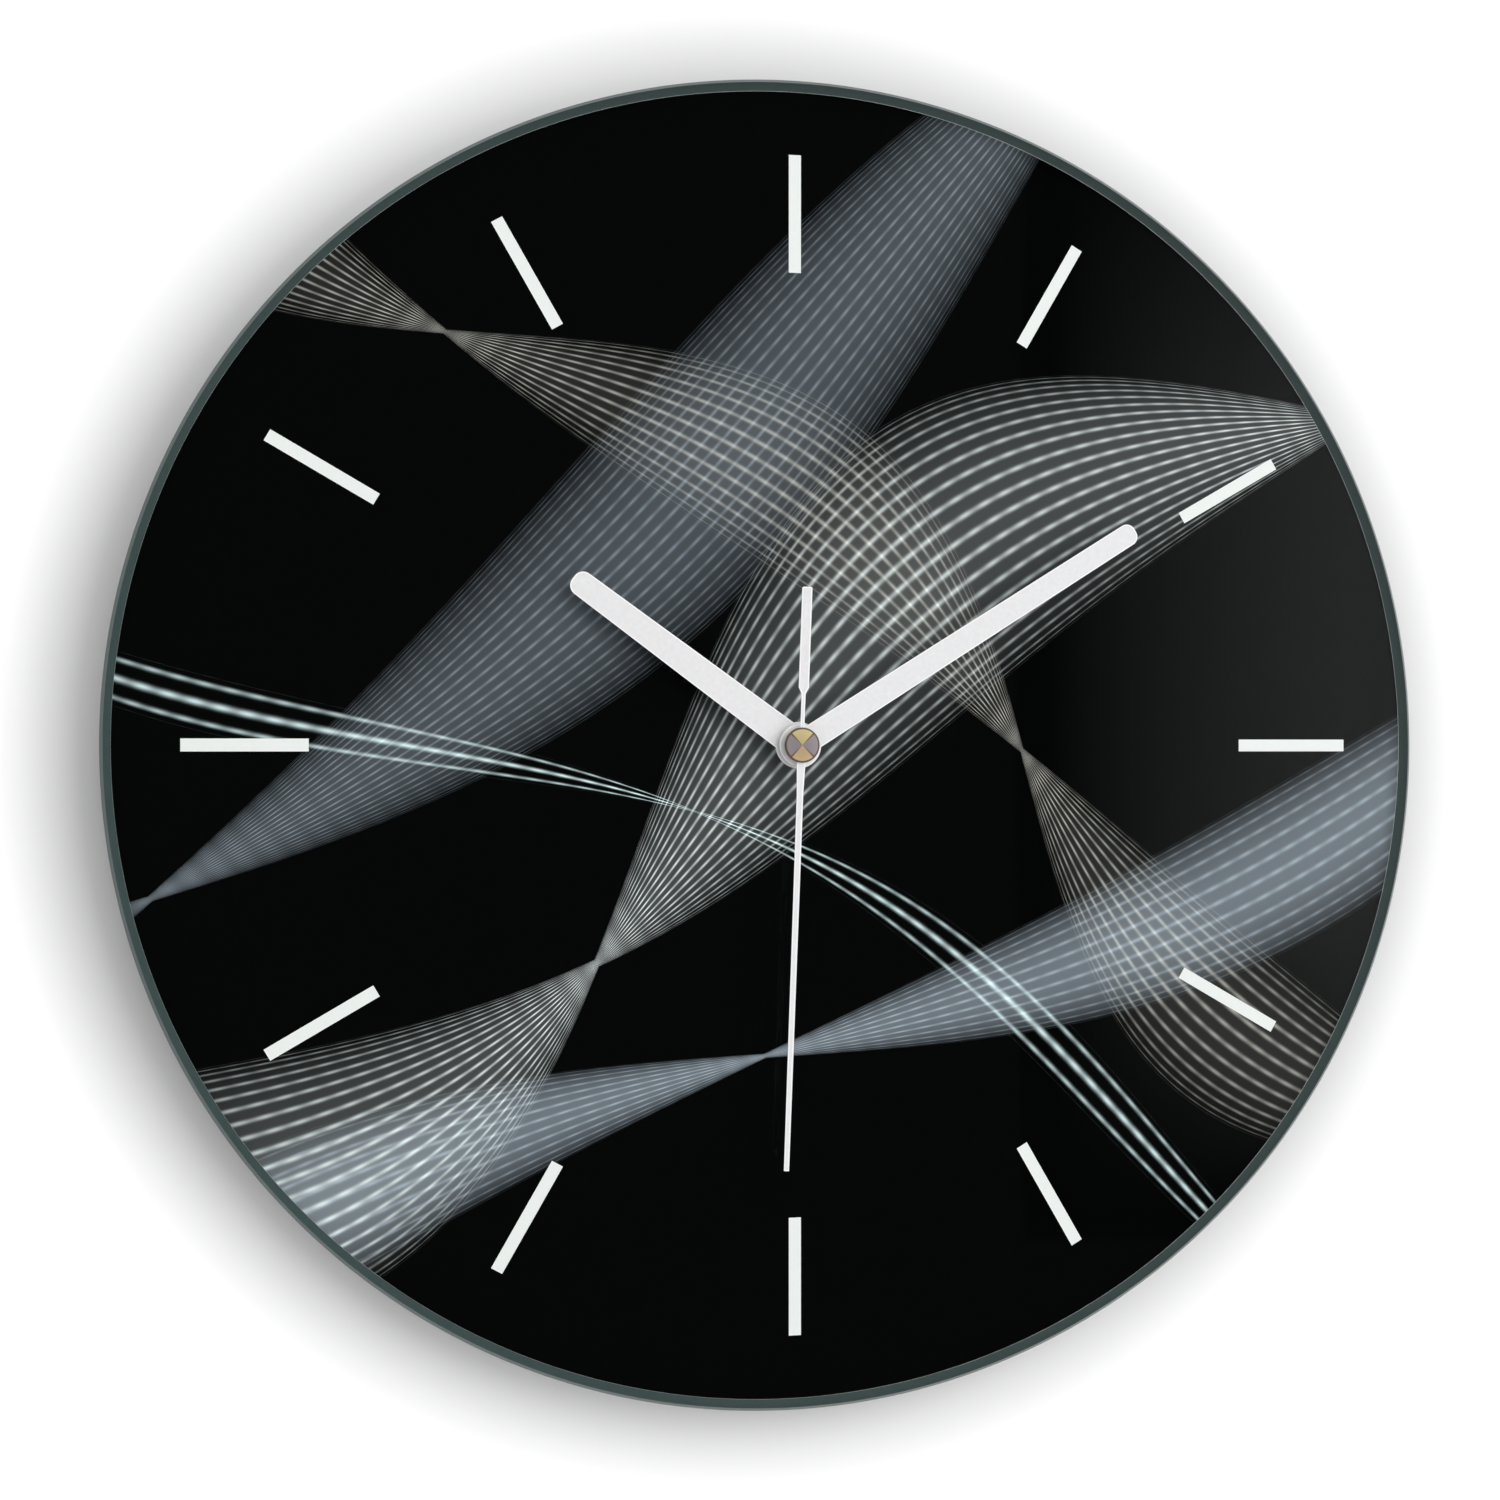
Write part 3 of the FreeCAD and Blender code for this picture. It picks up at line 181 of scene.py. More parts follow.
def glass_material():
    """Clear glass, which bends what is seen through it. Lamp light and reflections pass straight through.

    The print and the ink behind carry the gloss, because they and the glass are bonded into one layer."""
    material, tree, shader = new_material("clear_float_glass")
    tree.nodes.remove(shader)
    values = {"Color": (*GLASS_TINT, 1.0), "Roughness": 0.0, "IOR": GLASS_IOR}
    bent = joined(tree, "ShaderNodeBsdfRefraction", values).outputs[0]
    rays = tree.nodes.new("ShaderNodeLightPath")
    passing = rays.outputs["Is Shadow Ray"]
    for kind in ("Is Diffuse Ray", "Is Glossy Ray"):
        values = {0: passing, 1: rays.outputs[kind]}
        passing = joined(tree, "ShaderNodeMath", values, operation="MAXIMUM").outputs[0]
    clear = joined(tree, "ShaderNodeBsdfTransparent", {"Color": (*CLEAR_TINT, 1.0)}).outputs[0]
    both = joined(tree, "ShaderNodeMixShader", {0: passing, 1: bent, 2: clear}).outputs[0]
    tree.links.new(both, tree.nodes["Material Output"].inputs["Surface"])
    return material


def ground_edge_material():
    """Satin edge of the glass, ground along its length, in the glass's green darkened with painted shade."""
    material, tree, shader = new_material("ground_glass_edge")
    grind = noise(tree, 900.0, 4.0, 0.6, (1.0, 6.0, 1.0))
    tree.links.new(mixed(tree, grind, EDGE_GREEN_WITH_SHADE, EDGE_PALER_GREEN_WITH_SHADE), shader.inputs["Base Color"])
    tree.links.new(between(tree, grind, 0.30, 0.45), shader.inputs["Roughness"])
    shader.inputs["IOR"].default_value = GLASS_IOR
    bumped(tree, shader, grind, 0.00002)
    return material


glass_low, glass_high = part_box("glass_disc")
GLASS_RADIUS = glass_high.x
GLASS_FRONT = glass_low.y
GLASS_BACK = glass_high.y
glass_outline = [
    (HOLE_RADIUS, GLASS_FRONT, 0),
    (GLASS_RADIUS - FRONT_ARRIS, GLASS_FRONT, 1),
    (GLASS_RADIUS, GLASS_FRONT + FRONT_ARRIS, 1),
    (GLASS_RADIUS, GLASS_BACK - OPTICAL_GAP - BACK_ARRIS, 1),
    (GLASS_RADIUS - BACK_ARRIS, GLASS_BACK - OPTICAL_GAP, 0),
    (HOLE_RADIUS, GLASS_BACK - OPTICAL_GAP, 1),
]
glass = turned("glass", glass_outline, GLASS_SEGMENTS, [glass_material(), ground_edge_material()])
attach(glass, "clock")
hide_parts("glass_disc")

# Print: a dark layer printed on the back of the glass and baked on. Its picture is ribbons of fine silver
# strands that swell and twist across a black ground; its own back is plain black lacquer.
PRINT_BLACK = (0.0016, 0.0017, 0.0018)
PRINT_BACK = (0.016, 0.016, 0.017)
GLOSS = 0.03
SILVER = (0.72, 0.75, 0.76)
PALE_CYAN = (0.60, 0.72, 0.74)
WARM_GREY = (0.50, 0.48, 0.45)
SLATE = (0.23, 0.26, 0.30)
# Each ribbon: heading in degrees, offset, sway and its rate and phase, half-width, twist rate and phase,
# number of strands, brightness of the strands and of the fill between them, and colour. Lengths are shares
# of the print's radius.
RIBBON_SHARES = [
    (31.0, -0.02, 0.16, 2.6, 0.4, 0.21, 2.1, 0.9, 23.0, 0.85, 0.10, SILVER),
    (-38.0, 0.20, 0.12, 3.1, 2.1, 0.13, 2.9, 2.3, 17.0, 0.75, 0.05, WARM_GREY),
    (24.0, -0.42, 0.09, 2.2, 3.6, 0.12, 1.7, 0.4, 15.0, 1.00, 0.80, SLATE),
    (40.0, 0.47, 0.10, 2.0, 5.2, 0.16, 1.5, 1.3, 27.0, 0.70, 0.36, SLATE),
    (-29.0, -0.28, 0.14, 2.4, 1.2, 0.04, 2.3, 0.2, 4.0, 1.20, 0.00, PALE_CYAN),
]
PINCH_SHARE = 0.03
STRAND_SHARPNESS = 12.0
WEAVE_RATE = 170.0
WEAVE_DEPTH = 0.22
SHINE_SHARPNESS = 3.0
SHINE_LIGHT = 1.1


def sums(tree):
    """A function that adds one sum to the tree and gives back its result."""

    def add(operation, *values):
        node = joined(tree, "ShaderNodeMath", dict(enumerate(values)), operation=operation)
        return node.outputs[0]

    return add


def ribbon(tree, across, up, shares):
    """The light of one ribbon: its strands in its own colour, crowded where the ribbon turns over."""
    heading, offset, sway, sway_rate, sway_phase, half_width, twist_rate, twist_phase = shares[:8]
    strands, strand_light, fill_light, tint = shares[8:]
    add = sums(tree)
    cosine = math.cos(math.radians(heading))
    sine = math.sin(math.radians(heading))
    along = add("MULTIPLY_ADD", across, cosine, add("MULTIPLY", up, sine))
    aside = add("MULTIPLY_ADD", across, -sine, add("MULTIPLY", up, cosine))
    swing = add("MULTIPLY_ADD", add("SINE", add("MULTIPLY_ADD", along, sway_rate, sway_phase)), sway, offset)
    turn = add("ABSOLUTE", add("SINE", add("MULTIPLY_ADD", along, twist_rate, twist_phase)))
    opening = add("MULTIPLY", add("ADD", turn, PINCH_SHARE), half_width)
    place = add("DIVIDE", add("SUBTRACT", aside, swing), opening)
    held = add("MINIMUM", add("MAXIMUM", place, -1.0), 1.0)
    inside = add("SUBTRACT", 1.0, add("MULTIPLY", held, held))
    angle = add("ARCSINE", held)
    line = add("POWER", add("ABSOLUTE", add("COSINE", add("MULTIPLY", angle, strands))), STRAND_SHARPNESS)
    ripple = add("SINE", add("MULTIPLY", along, WEAVE_RATE))
    weave = add("MULTIPLY_ADD", ripple, WEAVE_DEPTH, 1.0 - WEAVE_DEPTH)
    shine = add("POWER", add("SUBTRACT", 1.0, turn), SHINE_SHARPNESS)
    glow = add("MULTIPLY_ADD", shine, SHINE_LIGHT, strand_light)
    light = add("MULTIPLY", glow, add("MULTIPLY", line, weave))
    edge = add("MULTIPLY", add("SQRT", inside), light)
    fill = add("MULTIPLY", inside, fill_light)
    total = add("ADD", edge, fill)
    return joined(tree, "ShaderNodeVectorMath", {0: (*tint,), "Scale": total}, operation="SCALE").outputs[0]


def print_material(radius):
    """Ribbons of fine strands on black, each worked out from its own formula."""
    material, tree, shader = new_material("printed_ribbons")
    place = tree.nodes.new("ShaderNodeTexCoord").outputs["Object"]
    parts = joined(tree, "ShaderNodeSeparateXYZ", {0: place}).outputs
    add = sums(tree)
    across = add("DIVIDE", parts[0], radius)
    up = add("DIVIDE", parts[2], radius)
    total = (*PRINT_BLACK,)
    for shares in RIBBON_SHARES:
        light = ribbon(tree, across, up, shares)
        total = joined(tree, "ShaderNodeVectorMath", {0: total, 1: light}, operation="ADD").outputs[0]
    tree.links.new(total, shader.inputs["Base Color"])
    shader.inputs["Roughness"].default_value = GLOSS
    shader.inputs["IOR"].default_value = GLASS_IOR
    return material


def lacquer_material():
    """Plain black lacquer over the print's back, with the uneven sheen of a sprayed coat."""
    material, tree, shader = new_material("black_lacquer")
    coat = noise(tree, 120.0, 3.0)
    shader.inputs["Base Color"].default_value = (*PRINT_BACK, 1.0)
    tree.links.new(between(tree, coat, 0.30, 0.42, 0.3, 0.7), shader.inputs["Roughness"])
    return material


film_low, film_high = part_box("print_film")
FILM_RADIUS = film_high.x
film_outline = [
    (HOLE_RADIUS, film_low.y, 0),
    (FILM_RADIUS, film_low.y, 1),
    (FILM_RADIUS, film_high.y, 1),
    (HOLE_RADIUS, film_high.y, 1),
]
film = turned("print", film_outline, GLASS_SEGMENTS, [print_material(FILM_RADIUS), lacquer_material()])
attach(film, "clock")
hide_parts("print_film")

# Hour markers: twelve bars of opaque white ink, screen printed through one stencil. Each bar is a brighter
# white along its edge than in its middle.
MARKER_WIDTH = 0.0028
MARKER_LENGTH = 0.0267
MARKER_COUNT = 12
MARKER_EDGE_BAND = 0.00028
MARKER_PROUD = 0.00002
INK_WHITE = (0.98, 0.97, 0.97)
INK_EDGE_WHITE = (1.0, 1.0, 1.0)
RIM_ATTRIBUTE = "bright_edge"


def ring_tree():
    """Repeats the modifier's own mesh round the dial's axis."""
    tree = bpy.data.node_groups.new("ring_of_markers", "GeometryNodeTree")
    face = tree.interface
    face.new_socket("Geometry", in_out="INPUT", socket_type="NodeSocketGeometry")
    face.new_socket("Count", in_out="INPUT", socket_type="NodeSocketInt")
    face.new_socket("Reach", in_out="INPUT", socket_type="NodeSocketFloat")
    face.new_socket("Finish", in_out="INPUT", socket_type="NodeSocketMaterial")
    face.new_socket("Geometry", in_out="OUTPUT", socket_type="NodeSocketGeometry")
    given = tree.nodes.new("NodeGroupInput").outputs
    points = joined(tree, "GeometryNodePoints", {"Count": given["Count"]}).outputs[0]
    index = tree.nodes.new("GeometryNodeInputIndex").outputs[0]
    share = joined(tree, "ShaderNodeMath", {0: index, 1: given["Count"]}, operation="DIVIDE").outputs[0]
    turn = joined(tree, "ShaderNodeMath", {0: share, 1: math.tau}, operation="MULTIPLY").outputs[0]
    turning = joined(tree, "ShaderNodeCombineXYZ", {1: turn}).outputs[0]
    reach = joined(tree, "ShaderNodeCombineXYZ", {2: given["Reach"]}).outputs[0]
    place = joined(
        tree, "ShaderNodeVectorRotate", {"Vector": reach, "Rotation": turning}, rotation_type="EULER_XYZ"
    ).outputs[0]
    placed = joined(tree, "GeometryNodeSetPosition", {"Geometry": points, "Position": place}).outputs[0]
    turned_by = joined(tree, "FunctionNodeEulerToRotation", {0: turning}).outputs[0]
    values = {"Points": placed, "Instance": given["Geometry"], "Rotation": turned_by}
    copies = joined(tree, "GeometryNodeInstanceOnPoints", values).outputs[0]
    real = joined(tree, "GeometryNodeRealizeInstances", {0: copies}).outputs[0]
    values = {"Geometry": real, "Material": given["Finish"]}
    painted = joined(tree, "GeometryNodeSetMaterial", values).outputs[0]
    tree.links.new(painted, tree.nodes.new("NodeGroupOutput").inputs[0])
    return tree


def with_nodes(thing, tree, values):
    """Runs a geometry tree on the thing, with its inputs by name, and keeps the result as a plain mesh."""
    modifier = thing.modifiers.new(tree.name, "NODES")
    modifier.node_group = tree
    for item in tree.interface.items_tree:
        if item.item_type == "SOCKET" and item.in_out == "INPUT" and item.name in values:
            modifier[item.identifier] = values[item.name]
    settle(thing)


def settle(thing):
    """Keeps the thing's evaluated mesh as its own, and drops its modifiers."""
    graph = bpy.context.evaluated_depsgraph_get()
    mesh = bpy.data.meshes.new_from_object(thing.evaluated_get(graph))
    thing.modifiers.clear()
    mesh.name = thing.name
    thing.data = mesh


def new_object(name, bm, smooth_angle=None):
    """An object from a finished bmesh."""
    mesh = bpy.data.meshes.new(name)
    bm.to_mesh(mesh)
    bm.free()
    if smooth_angle is not None:
        mesh.shade_smooth()
        mesh.set_sharp_from_angle(angle=math.radians(smooth_angle))
    thing = bpy.data.objects.new(name, mesh)
    bpy.context.scene.collection.objects.link(thing)
    return thing


def white_with_brighter_edge(name, plain, bright, mottle_scale, mottle, roughness, play=0.05):
    """White whose edge, where the mesh says so, is brighter than its mottled middle; on the hands, a painted
    highlight.
    """
    material, tree, shader = new_material(name)
    edge = joined(tree, "ShaderNodeAttribute", {}, attribute_name=RIM_ATTRIBUTE).outputs["Fac"]
    cloud = noise(tree, mottle_scale, 3.0, 0.6)
    darker = tuple(channel * (1.0 - mottle) for channel in plain)
    lighter = tuple(min(1.0, channel * (1.0 + mottle)) for channel in plain)
    middle = mixed(tree, between(tree, cloud, 0.0, 1.0, 0.3, 0.7), darker, lighter)
    tree.links.new(mixed(tree, edge, middle, bright), shader.inputs["Base Color"])
    tree.links.new(between(tree, cloud, roughness, roughness + play), shader.inputs["Roughness"])
    return material


def beaded_bar():
    """One bar at the top of the dial: a plain middle and a brighter band round it, in the same flat face."""
    bm = bmesh.new()
    front = film_low.y - MARKER_PROUD
    half = MARKER_WIDTH / 2
    long_half = MARKER_LENGTH / 2
    corners = [(-half, -long_half), (half, -long_half), (half, long_half), (-half, long_half)]
    outer = [bm.verts.new((x, front, z)) for x, z in corners]
    face = bm.faces.new(outer)
    middle = bmesh.ops.inset_region(bm, faces=[face], thickness=MARKER_EDGE_BAND)
    bright_edge = bm.faces.layers.float.new(RIM_ATTRIBUTE)
    for ring in middle["faces"]:
        ring[bright_edge] = 1.0
    rim = [edge for edge in bm.edges if edge.is_boundary]
    walls = bmesh.ops.extrude_edge_only(bm, edges=rim)["geom"]
    for vert in (item for item in walls if isinstance(item, bmesh.types.BMVert)):
        vert.co.y = film_low.y
    bmesh.ops.holes_fill(bm, edges=[edge for edge in bm.edges if edge.is_boundary], sides=4)
    bmesh.ops.recalc_face_normals(bm, faces=bm.faces)
    return new_object("markers", bm)


ink = white_with_brighter_edge("white_ink", INK_WHITE, INK_EDGE_WHITE, 700.0, 0.012, GLOSS, 0.0)
markers = beaded_bar()
marker_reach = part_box("hour_markers")[1].z - MARKER_LENGTH / 2
with_nodes(markers, ring_tree(), {"Count": MARKER_COUNT, "Reach": marker_reach, "Finish": ink})
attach(markers, "clock")
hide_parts("hour_markers")

# Hands: stamped from sheet aluminium, painted white, and pressed on their tubes. The light that their soft
# stamped rim catches all round is a painted highlight: a band of brighter white round each front.
# Width and colour of the painted highlight round each hand's front.
HAND_HIGHLIGHT_WIDTH = 0.0003
PAINT_WHITE = (0.82, 0.82, 0.83)
PAINT_RIM_HIGHLIGHT = (0.97, 0.97, 0.97)
paint = white_with_brighter_edge("white_satin_paint", PAINT_WHITE, PAINT_RIM_HIGHLIGHT, 900.0, 0.035, 0.42)


def merged_copy(node):
    """The node's mesh with its loose triangles joined, and flat stretches made one face."""
    bm = bmesh.new()
    bm.from_mesh(frame["nodes"][node].data)
    bmesh.ops.remove_doubles(bm, verts=bm.verts, dist=1e-6)
    bmesh.ops.dissolve_limit(bm, angle_limit=math.radians(0.5), verts=bm.verts, edges=bm.edges)
    return bm


def painted_hand(name, node, body):
    """The hand's own shape, with a painted highlight of brighter white round its front."""
    bm = merged_copy(node)
    bright_edge = bm.faces.layers.float.new(RIM_ATTRIBUTE)
    front = min(vert.co.y for vert in bm.verts)
    faces = [face for face in bm.faces if abs(face.calc_center_median().y - front) < 1e-6]
    ring = bmesh.ops.inset_region(bm, faces=faces, thickness=HAND_HIGHLIGHT_WIDTH, use_even_offset=True)
    for face in ring["faces"]:
        face[bright_edge] = 1.0
    bmesh.ops.triangulate(bm, faces=[face for face in bm.faces if len(face.verts) > 4])
    thing = new_object(name, bm, 30.0)
    thing.data.materials.append(paint)
    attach(thing, body)
    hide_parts(node)


painted_hand("hour_blade", "hour_hand", "hour_hand_set")
painted_hand("minute_blade", "minute_hand", "minute_hand_set")
painted_hand("second_blade", "second_hand", "second_hand_set")

# Cap of the second hand: turned from brass, with a bevelled rim, and lacquered. The shine of its turned face
# is painted into its colour: highlight wedges, gold above and rosier below, painted grey shade at the sides,
# painted dark lines between them, and a painted dark ring at the rim.
CAP_SEGMENTS = 96
CAP_BEVEL = 0.0003
CAP_DISH = 0.00012
# Painted highlight and painted shade of the turned face, and its painted dark lines and rim.
CAP_GOLD_HIGHLIGHT = (0.96, 0.80, 0.42)
CAP_ROSE_HIGHLIGHT = (0.94, 0.70, 0.42)
CAP_GREY_SHADE = (0.50, 0.44, 0.47)
CAP_SHADE_LINE = (0.20, 0.14, 0.09)
CAP_RIM_SHADE = (0.17, 0.12, 0.08)
CAP_SHADE_LINE_PLACE = 0.70
CAP_RIM_SHADE_SHARE = 0.88
TURNING_RATE = 42000.0
TURNING_HEIGHT = 0.000004


def brass_painted_sheen(radius):
    """Brass with the painted sheen of a turned face: highlight wedges, shade at the sides, dark lines and
    rim.
    """
    material, tree, shader = new_material("brass_painted_sheen")
    place = tree.nodes.new("ShaderNodeTexCoord").outputs["Object"]
    parts = joined(tree, "ShaderNodeSeparateXYZ", {0: place}).outputs
    add = sums(tree)
    angle = add("ARCTAN2", parts[2], parts[0])
    upright = add("ABSOLUTE", add("SINE", angle))
    reach = add("SQRT", add("ADD", add("MULTIPLY", parts[0], parts[0]), add("MULTIPLY", parts[2], parts[2])))
    above = between(tree, parts[2], 0.0, 1.0, -radius / 4, radius / 4)
    gold_highlight = mixed(tree, above, CAP_ROSE_HIGHLIGHT, CAP_GOLD_HIGHLIGHT)
    highlight_wedge = between(tree, upright, 0.0, 1.0, 0.60, 0.80)
    face = mixed(tree, highlight_wedge, CAP_GREY_SHADE, gold_highlight)
    off_line = add("ABSOLUTE", add("SUBTRACT", upright, CAP_SHADE_LINE_PLACE))
    with_shade_lines = mixed(tree, between(tree, off_line, 1.0, 0.0, 0.01, 0.07), face, CAP_SHADE_LINE)
    rim_shade_start = radius * CAP_RIM_SHADE_SHARE
    rim = between(tree, reach, 0.0, 1.0, rim_shade_start, rim_shade_start + radius * 0.04)
    tree.links.new(mixed(tree, rim, with_shade_lines, CAP_RIM_SHADE), shader.inputs["Base Color"])
    shader.inputs["Metallic"].default_value = 0.8
    shader.inputs["Roughness"].default_value = 0.45
    rings = add("SINE", add("MULTIPLY", reach, TURNING_RATE))
    bumped(tree, shader, rings, TURNING_HEIGHT)
    return material


cap_low, cap_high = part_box("second_cap")
CAP_RADIUS = cap_high.x
cap_outline = [
    (0.0, cap_low.y + CAP_DISH, 0),
    (CAP_RADIUS - CAP_BEVEL, cap_low.y, 0),
    (CAP_RADIUS - CAP_BEVEL / 3, cap_low.y + CAP_BEVEL / 3, 0),
    (CAP_RADIUS, cap_low.y + CAP_BEVEL, 0),
    (CAP_RADIUS, cap_high.y, 0),
    (0.0, cap_high.y, 0),
]
cap = turned("hand_cap", cap_outline, CAP_SEGMENTS, [brass_painted_sheen(CAP_RADIUS)], 50.0)
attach(cap, "second_hand_set")
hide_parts("second_cap")

# Movement case: two shells moulded in black plastic, snapped together. The mould is spark eroded, which
# leaves a fine grain, and every edge comes out of it slightly rounded.
CASE_BLACK = (0.034, 0.034, 0.036)
CASE_EDGE = 0.00022
EDGE_STEPS = 2
EDGE_ANGLE = 35.0


def moulded(name, colour, grain_scale, grain_height, low, high):
    """Moulded plastic with the fine grain of its mould and faint flow marks."""
    material, tree, shader = new_material(name)
    grain = noise(tree, grain_scale, 2.0, 0.6)
    flow = noise(tree, 60.0, 2.0, 0.5)
    darker = tuple(channel * 0.85 for channel in colour)
    lighter = tuple(channel * 1.12 for channel in colour)
    tree.links.new(mixed(tree, flow, darker, lighter), shader.inputs["Base Color"])
    tree.links.new(between(tree, flow, low, high, 0.3, 0.7), shader.inputs["Roughness"])
    bumped(tree, shader, grain, grain_height)
    return material


def dressed(name, node, body, material, width):
    """The node's own shape with its sharp edges rounded."""
    thing = new_object(name, merged_copy(node), 30.0)
    thing.data.materials.append(material)
    modifier = thing.modifiers.new("edges", "BEVEL")
    modifier.width = width
    modifier.segments = EDGE_STEPS
    modifier.limit_method = "ANGLE"
    modifier.angle_limit = math.radians(EDGE_ANGLE)
    settle(thing)
    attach(thing, body)
    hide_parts(node)
    return thing


black_plastic = moulded("black_case_plastic", CASE_BLACK, 4200.0, 0.00002, 0.42, 0.55)
dressed("rear_shell", "case_rear", "clock", black_plastic, CASE_EDGE)
dressed("front_shell", "case_front", "clock", black_plastic, CASE_EDGE / 2)

# Setting knob: moulded in grey plastic, with a knurled rim and a hollow face. It lies in its well in the
# case's back, where a finger turns it.
KNOB_GREY = (0.060, 0.061, 0.064)
knob_plastic = moulded("grey_knob_plastic", KNOB_GREY, 3000.0, 0.00001, 0.35, 0.45)
dressed("knob", "setting_knob", "setting_knob_set", knob_plastic, CASE_EDGE / 2)

# Foam tape: a die-cut square of closed-cell foam with glue on both faces. Squeezed between the glass and
# the case, it bulges a little at its edge.
FOAM_BLACK = (0.030, 0.030, 0.032)
FOAM_EDGE = 0.00035
foam_material = moulded("closed_cell_foam", FOAM_BLACK, 2600.0, 0.00006, 0.85, 0.95)
foam = dressed("foam_tape", "foam_pad", "clock", foam_material, FOAM_EDGE)

# Marks printed on the back of the case in pale grey: the poles of the cell above its bay, and curved arrows
# that show which ways the knob turns.
MARK_GREY = (0.42, 0.42, 0.43)
MARK_PROUD = 0.00002
MARK_ARM = 0.0021
MARK_STROKE = 0.00045
MARK_UP = -0.0072
MARK_ACROSS = 0.0205
ARROW_RADIUS = 0.0086
ARROW_HEAD = 0.0011
ARROW_STEPS = 24
ARROW_SPANS = [(15.0, 60.0), (165.0, 120.0)]


def plate(bm, corners):
    """A thin flat plate on the case's back, from corners of (x, z)."""
    face = bm.faces.new([bm.verts.new((x, MARK_PROUD, z)) for x, z in corners])
    made = bmesh.ops.extrude_face_region(bm, geom=[face])["geom"]
    for vert in (item for item in made if isinstance(item, bmesh.types.BMVert)):
        vert.co.y = -MARK_PROUD


def bar_mark(bm, x, z, across, up):
    """A straight bar round a place, from its half-widths."""
    plate(bm, [(x - across, z - up), (x + across, z - up), (x + across, z + up), (x - across, z + up)])


def arc_arrow(bm, x, z, start, end):
    """A curved arrow round a place, from one angle to another in degrees."""
    turns = [math.radians(start + (end - start) * i / ARROW_STEPS) for i in range(ARROW_STEPS + 1)]
    inner = ARROW_RADIUS - MARK_STROKE / 2
    outer = ARROW_RADIUS + MARK_STROKE / 2
    band = [(x + outer * math.cos(t), z + outer * math.sin(t)) for t in turns]
    band += [(x + inner * math.cos(t), z + inner * math.sin(t)) for t in reversed(turns)]
    for low, high in zip(range(ARROW_STEPS), range(1, ARROW_STEPS + 1)):
        plate(bm, [band[low], band[high], band[-1 - high], band[-1 - low]])
    last = turns[-1]
    ahead = last + math.copysign(2 * ARROW_HEAD / ARROW_RADIUS, end - start)
    tip = (x + ARROW_RADIUS * math.cos(ahead), z + ARROW_RADIUS * math.sin(ahead))
    near = ARROW_RADIUS - ARROW_HEAD
    far = ARROW_RADIUS + ARROW_HEAD
    foot = [(x + reach * math.cos(last), z + reach * math.sin(last)) for reach in (near, far)]
    plate(bm, [*foot, tip])


bm = bmesh.new()
bar_mark(bm, MARK_ACROSS, MARK_UP, MARK_ARM, MARK_STROKE)
bar_mark(bm, MARK_ACROSS, MARK_UP, MARK_STROKE, MARK_ARM)
bar_mark(bm, -MARK_ACROSS, MARK_UP, MARK_ARM, MARK_STROKE)
knob_low, knob_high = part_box("setting_knob")
knob_x = (knob_low.x + knob_high.x) / 2
for start, end in ARROW_SPANS:
    arc_arrow(bm, knob_x, 0.0, start, end)
bmesh.ops.recalc_face_normals(bm, faces=bm.faces)
marks = new_object("case_marks", bm)
marks.data.materials.append(moulded("pale_print", MARK_GREY, 2000.0, 0.000005, 0.55, 0.65))
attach(marks, "clock")

# Battery: one AA cell. A steel can in a shrunk plastic sleeve, whose lips fold over both ends, with the
# nub and its insulating washer at the positive end.
SLEEVE_DARK = (0.020, 0.024, 0.030)
SLEEVE_PALE = (0.42, 0.43, 0.44)
SLEEVE_BAND_START = 0.0145
SLEEVE_BAND_BLUR = 0.00005
STEEL_BRIGHT = (0.62, 0.61, 0.59)
WASHER_WHITE = (0.70, 0.70, 0.68)
CELL_SEGMENTS = 96


def sleeve_material():
    """Glossy sleeve in a dark colour with a pale band at its positive end."""
    material, tree, shader = new_material("cell_sleeve")
    place = tree.nodes.new("ShaderNodeTexCoord").outputs["Object"]
    along = joined(tree, "ShaderNodeSeparateXYZ", {0: place}).outputs[0]
    band = between(tree, along, 0.0, 1.0, SLEEVE_BAND_START, SLEEVE_BAND_START + SLEEVE_BAND_BLUR)
    tree.links.new(mixed(tree, band, SLEEVE_DARK, SLEEVE_PALE), shader.inputs["Base Color"])
    ripple = noise(tree, 220.0, 2.0, 0.5, (0.25, 1.0, 1.0))
    tree.links.new(between(tree, ripple, 0.16, 0.26), shader.inputs["Roughness"])
    bumped(tree, shader, ripple, 0.00002)
    return material


def plain_metal(name, colour, low, high, scale=300.0, stretch=(1.0, 1.0, 1.0)):
    """Bare metal with faint rolling marks."""
    material, tree, shader = new_material(name)
    marks_of_rolls = noise(tree, scale, 4.0, 0.6, stretch)
    darker = tuple(channel * 0.88 for channel in colour)
    tree.links.new(mixed(tree, marks_of_rolls, darker, colour), shader.inputs["Base Color"])
    shader.inputs["Metallic"].default_value = 1.0
    tree.links.new(between(tree, marks_of_rolls, low, high, 0.3, 0.7), shader.inputs["Roughness"])
    return material


nickel = plain_metal("nickel_plate", STEEL_BRIGHT, 0.22, 0.36)
washer = moulded("insulating_washer", WASHER_WHITE, 2000.0, 0.000005, 0.5, 0.6)
cell_low, cell_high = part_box("battery_cell")
cell_centre = (cell_low + cell_high) / 2
cell_radius = (cell_high.z - cell_low.z) / 2
cell_end = cell_high.x
shoulder = cell_end - 0.001
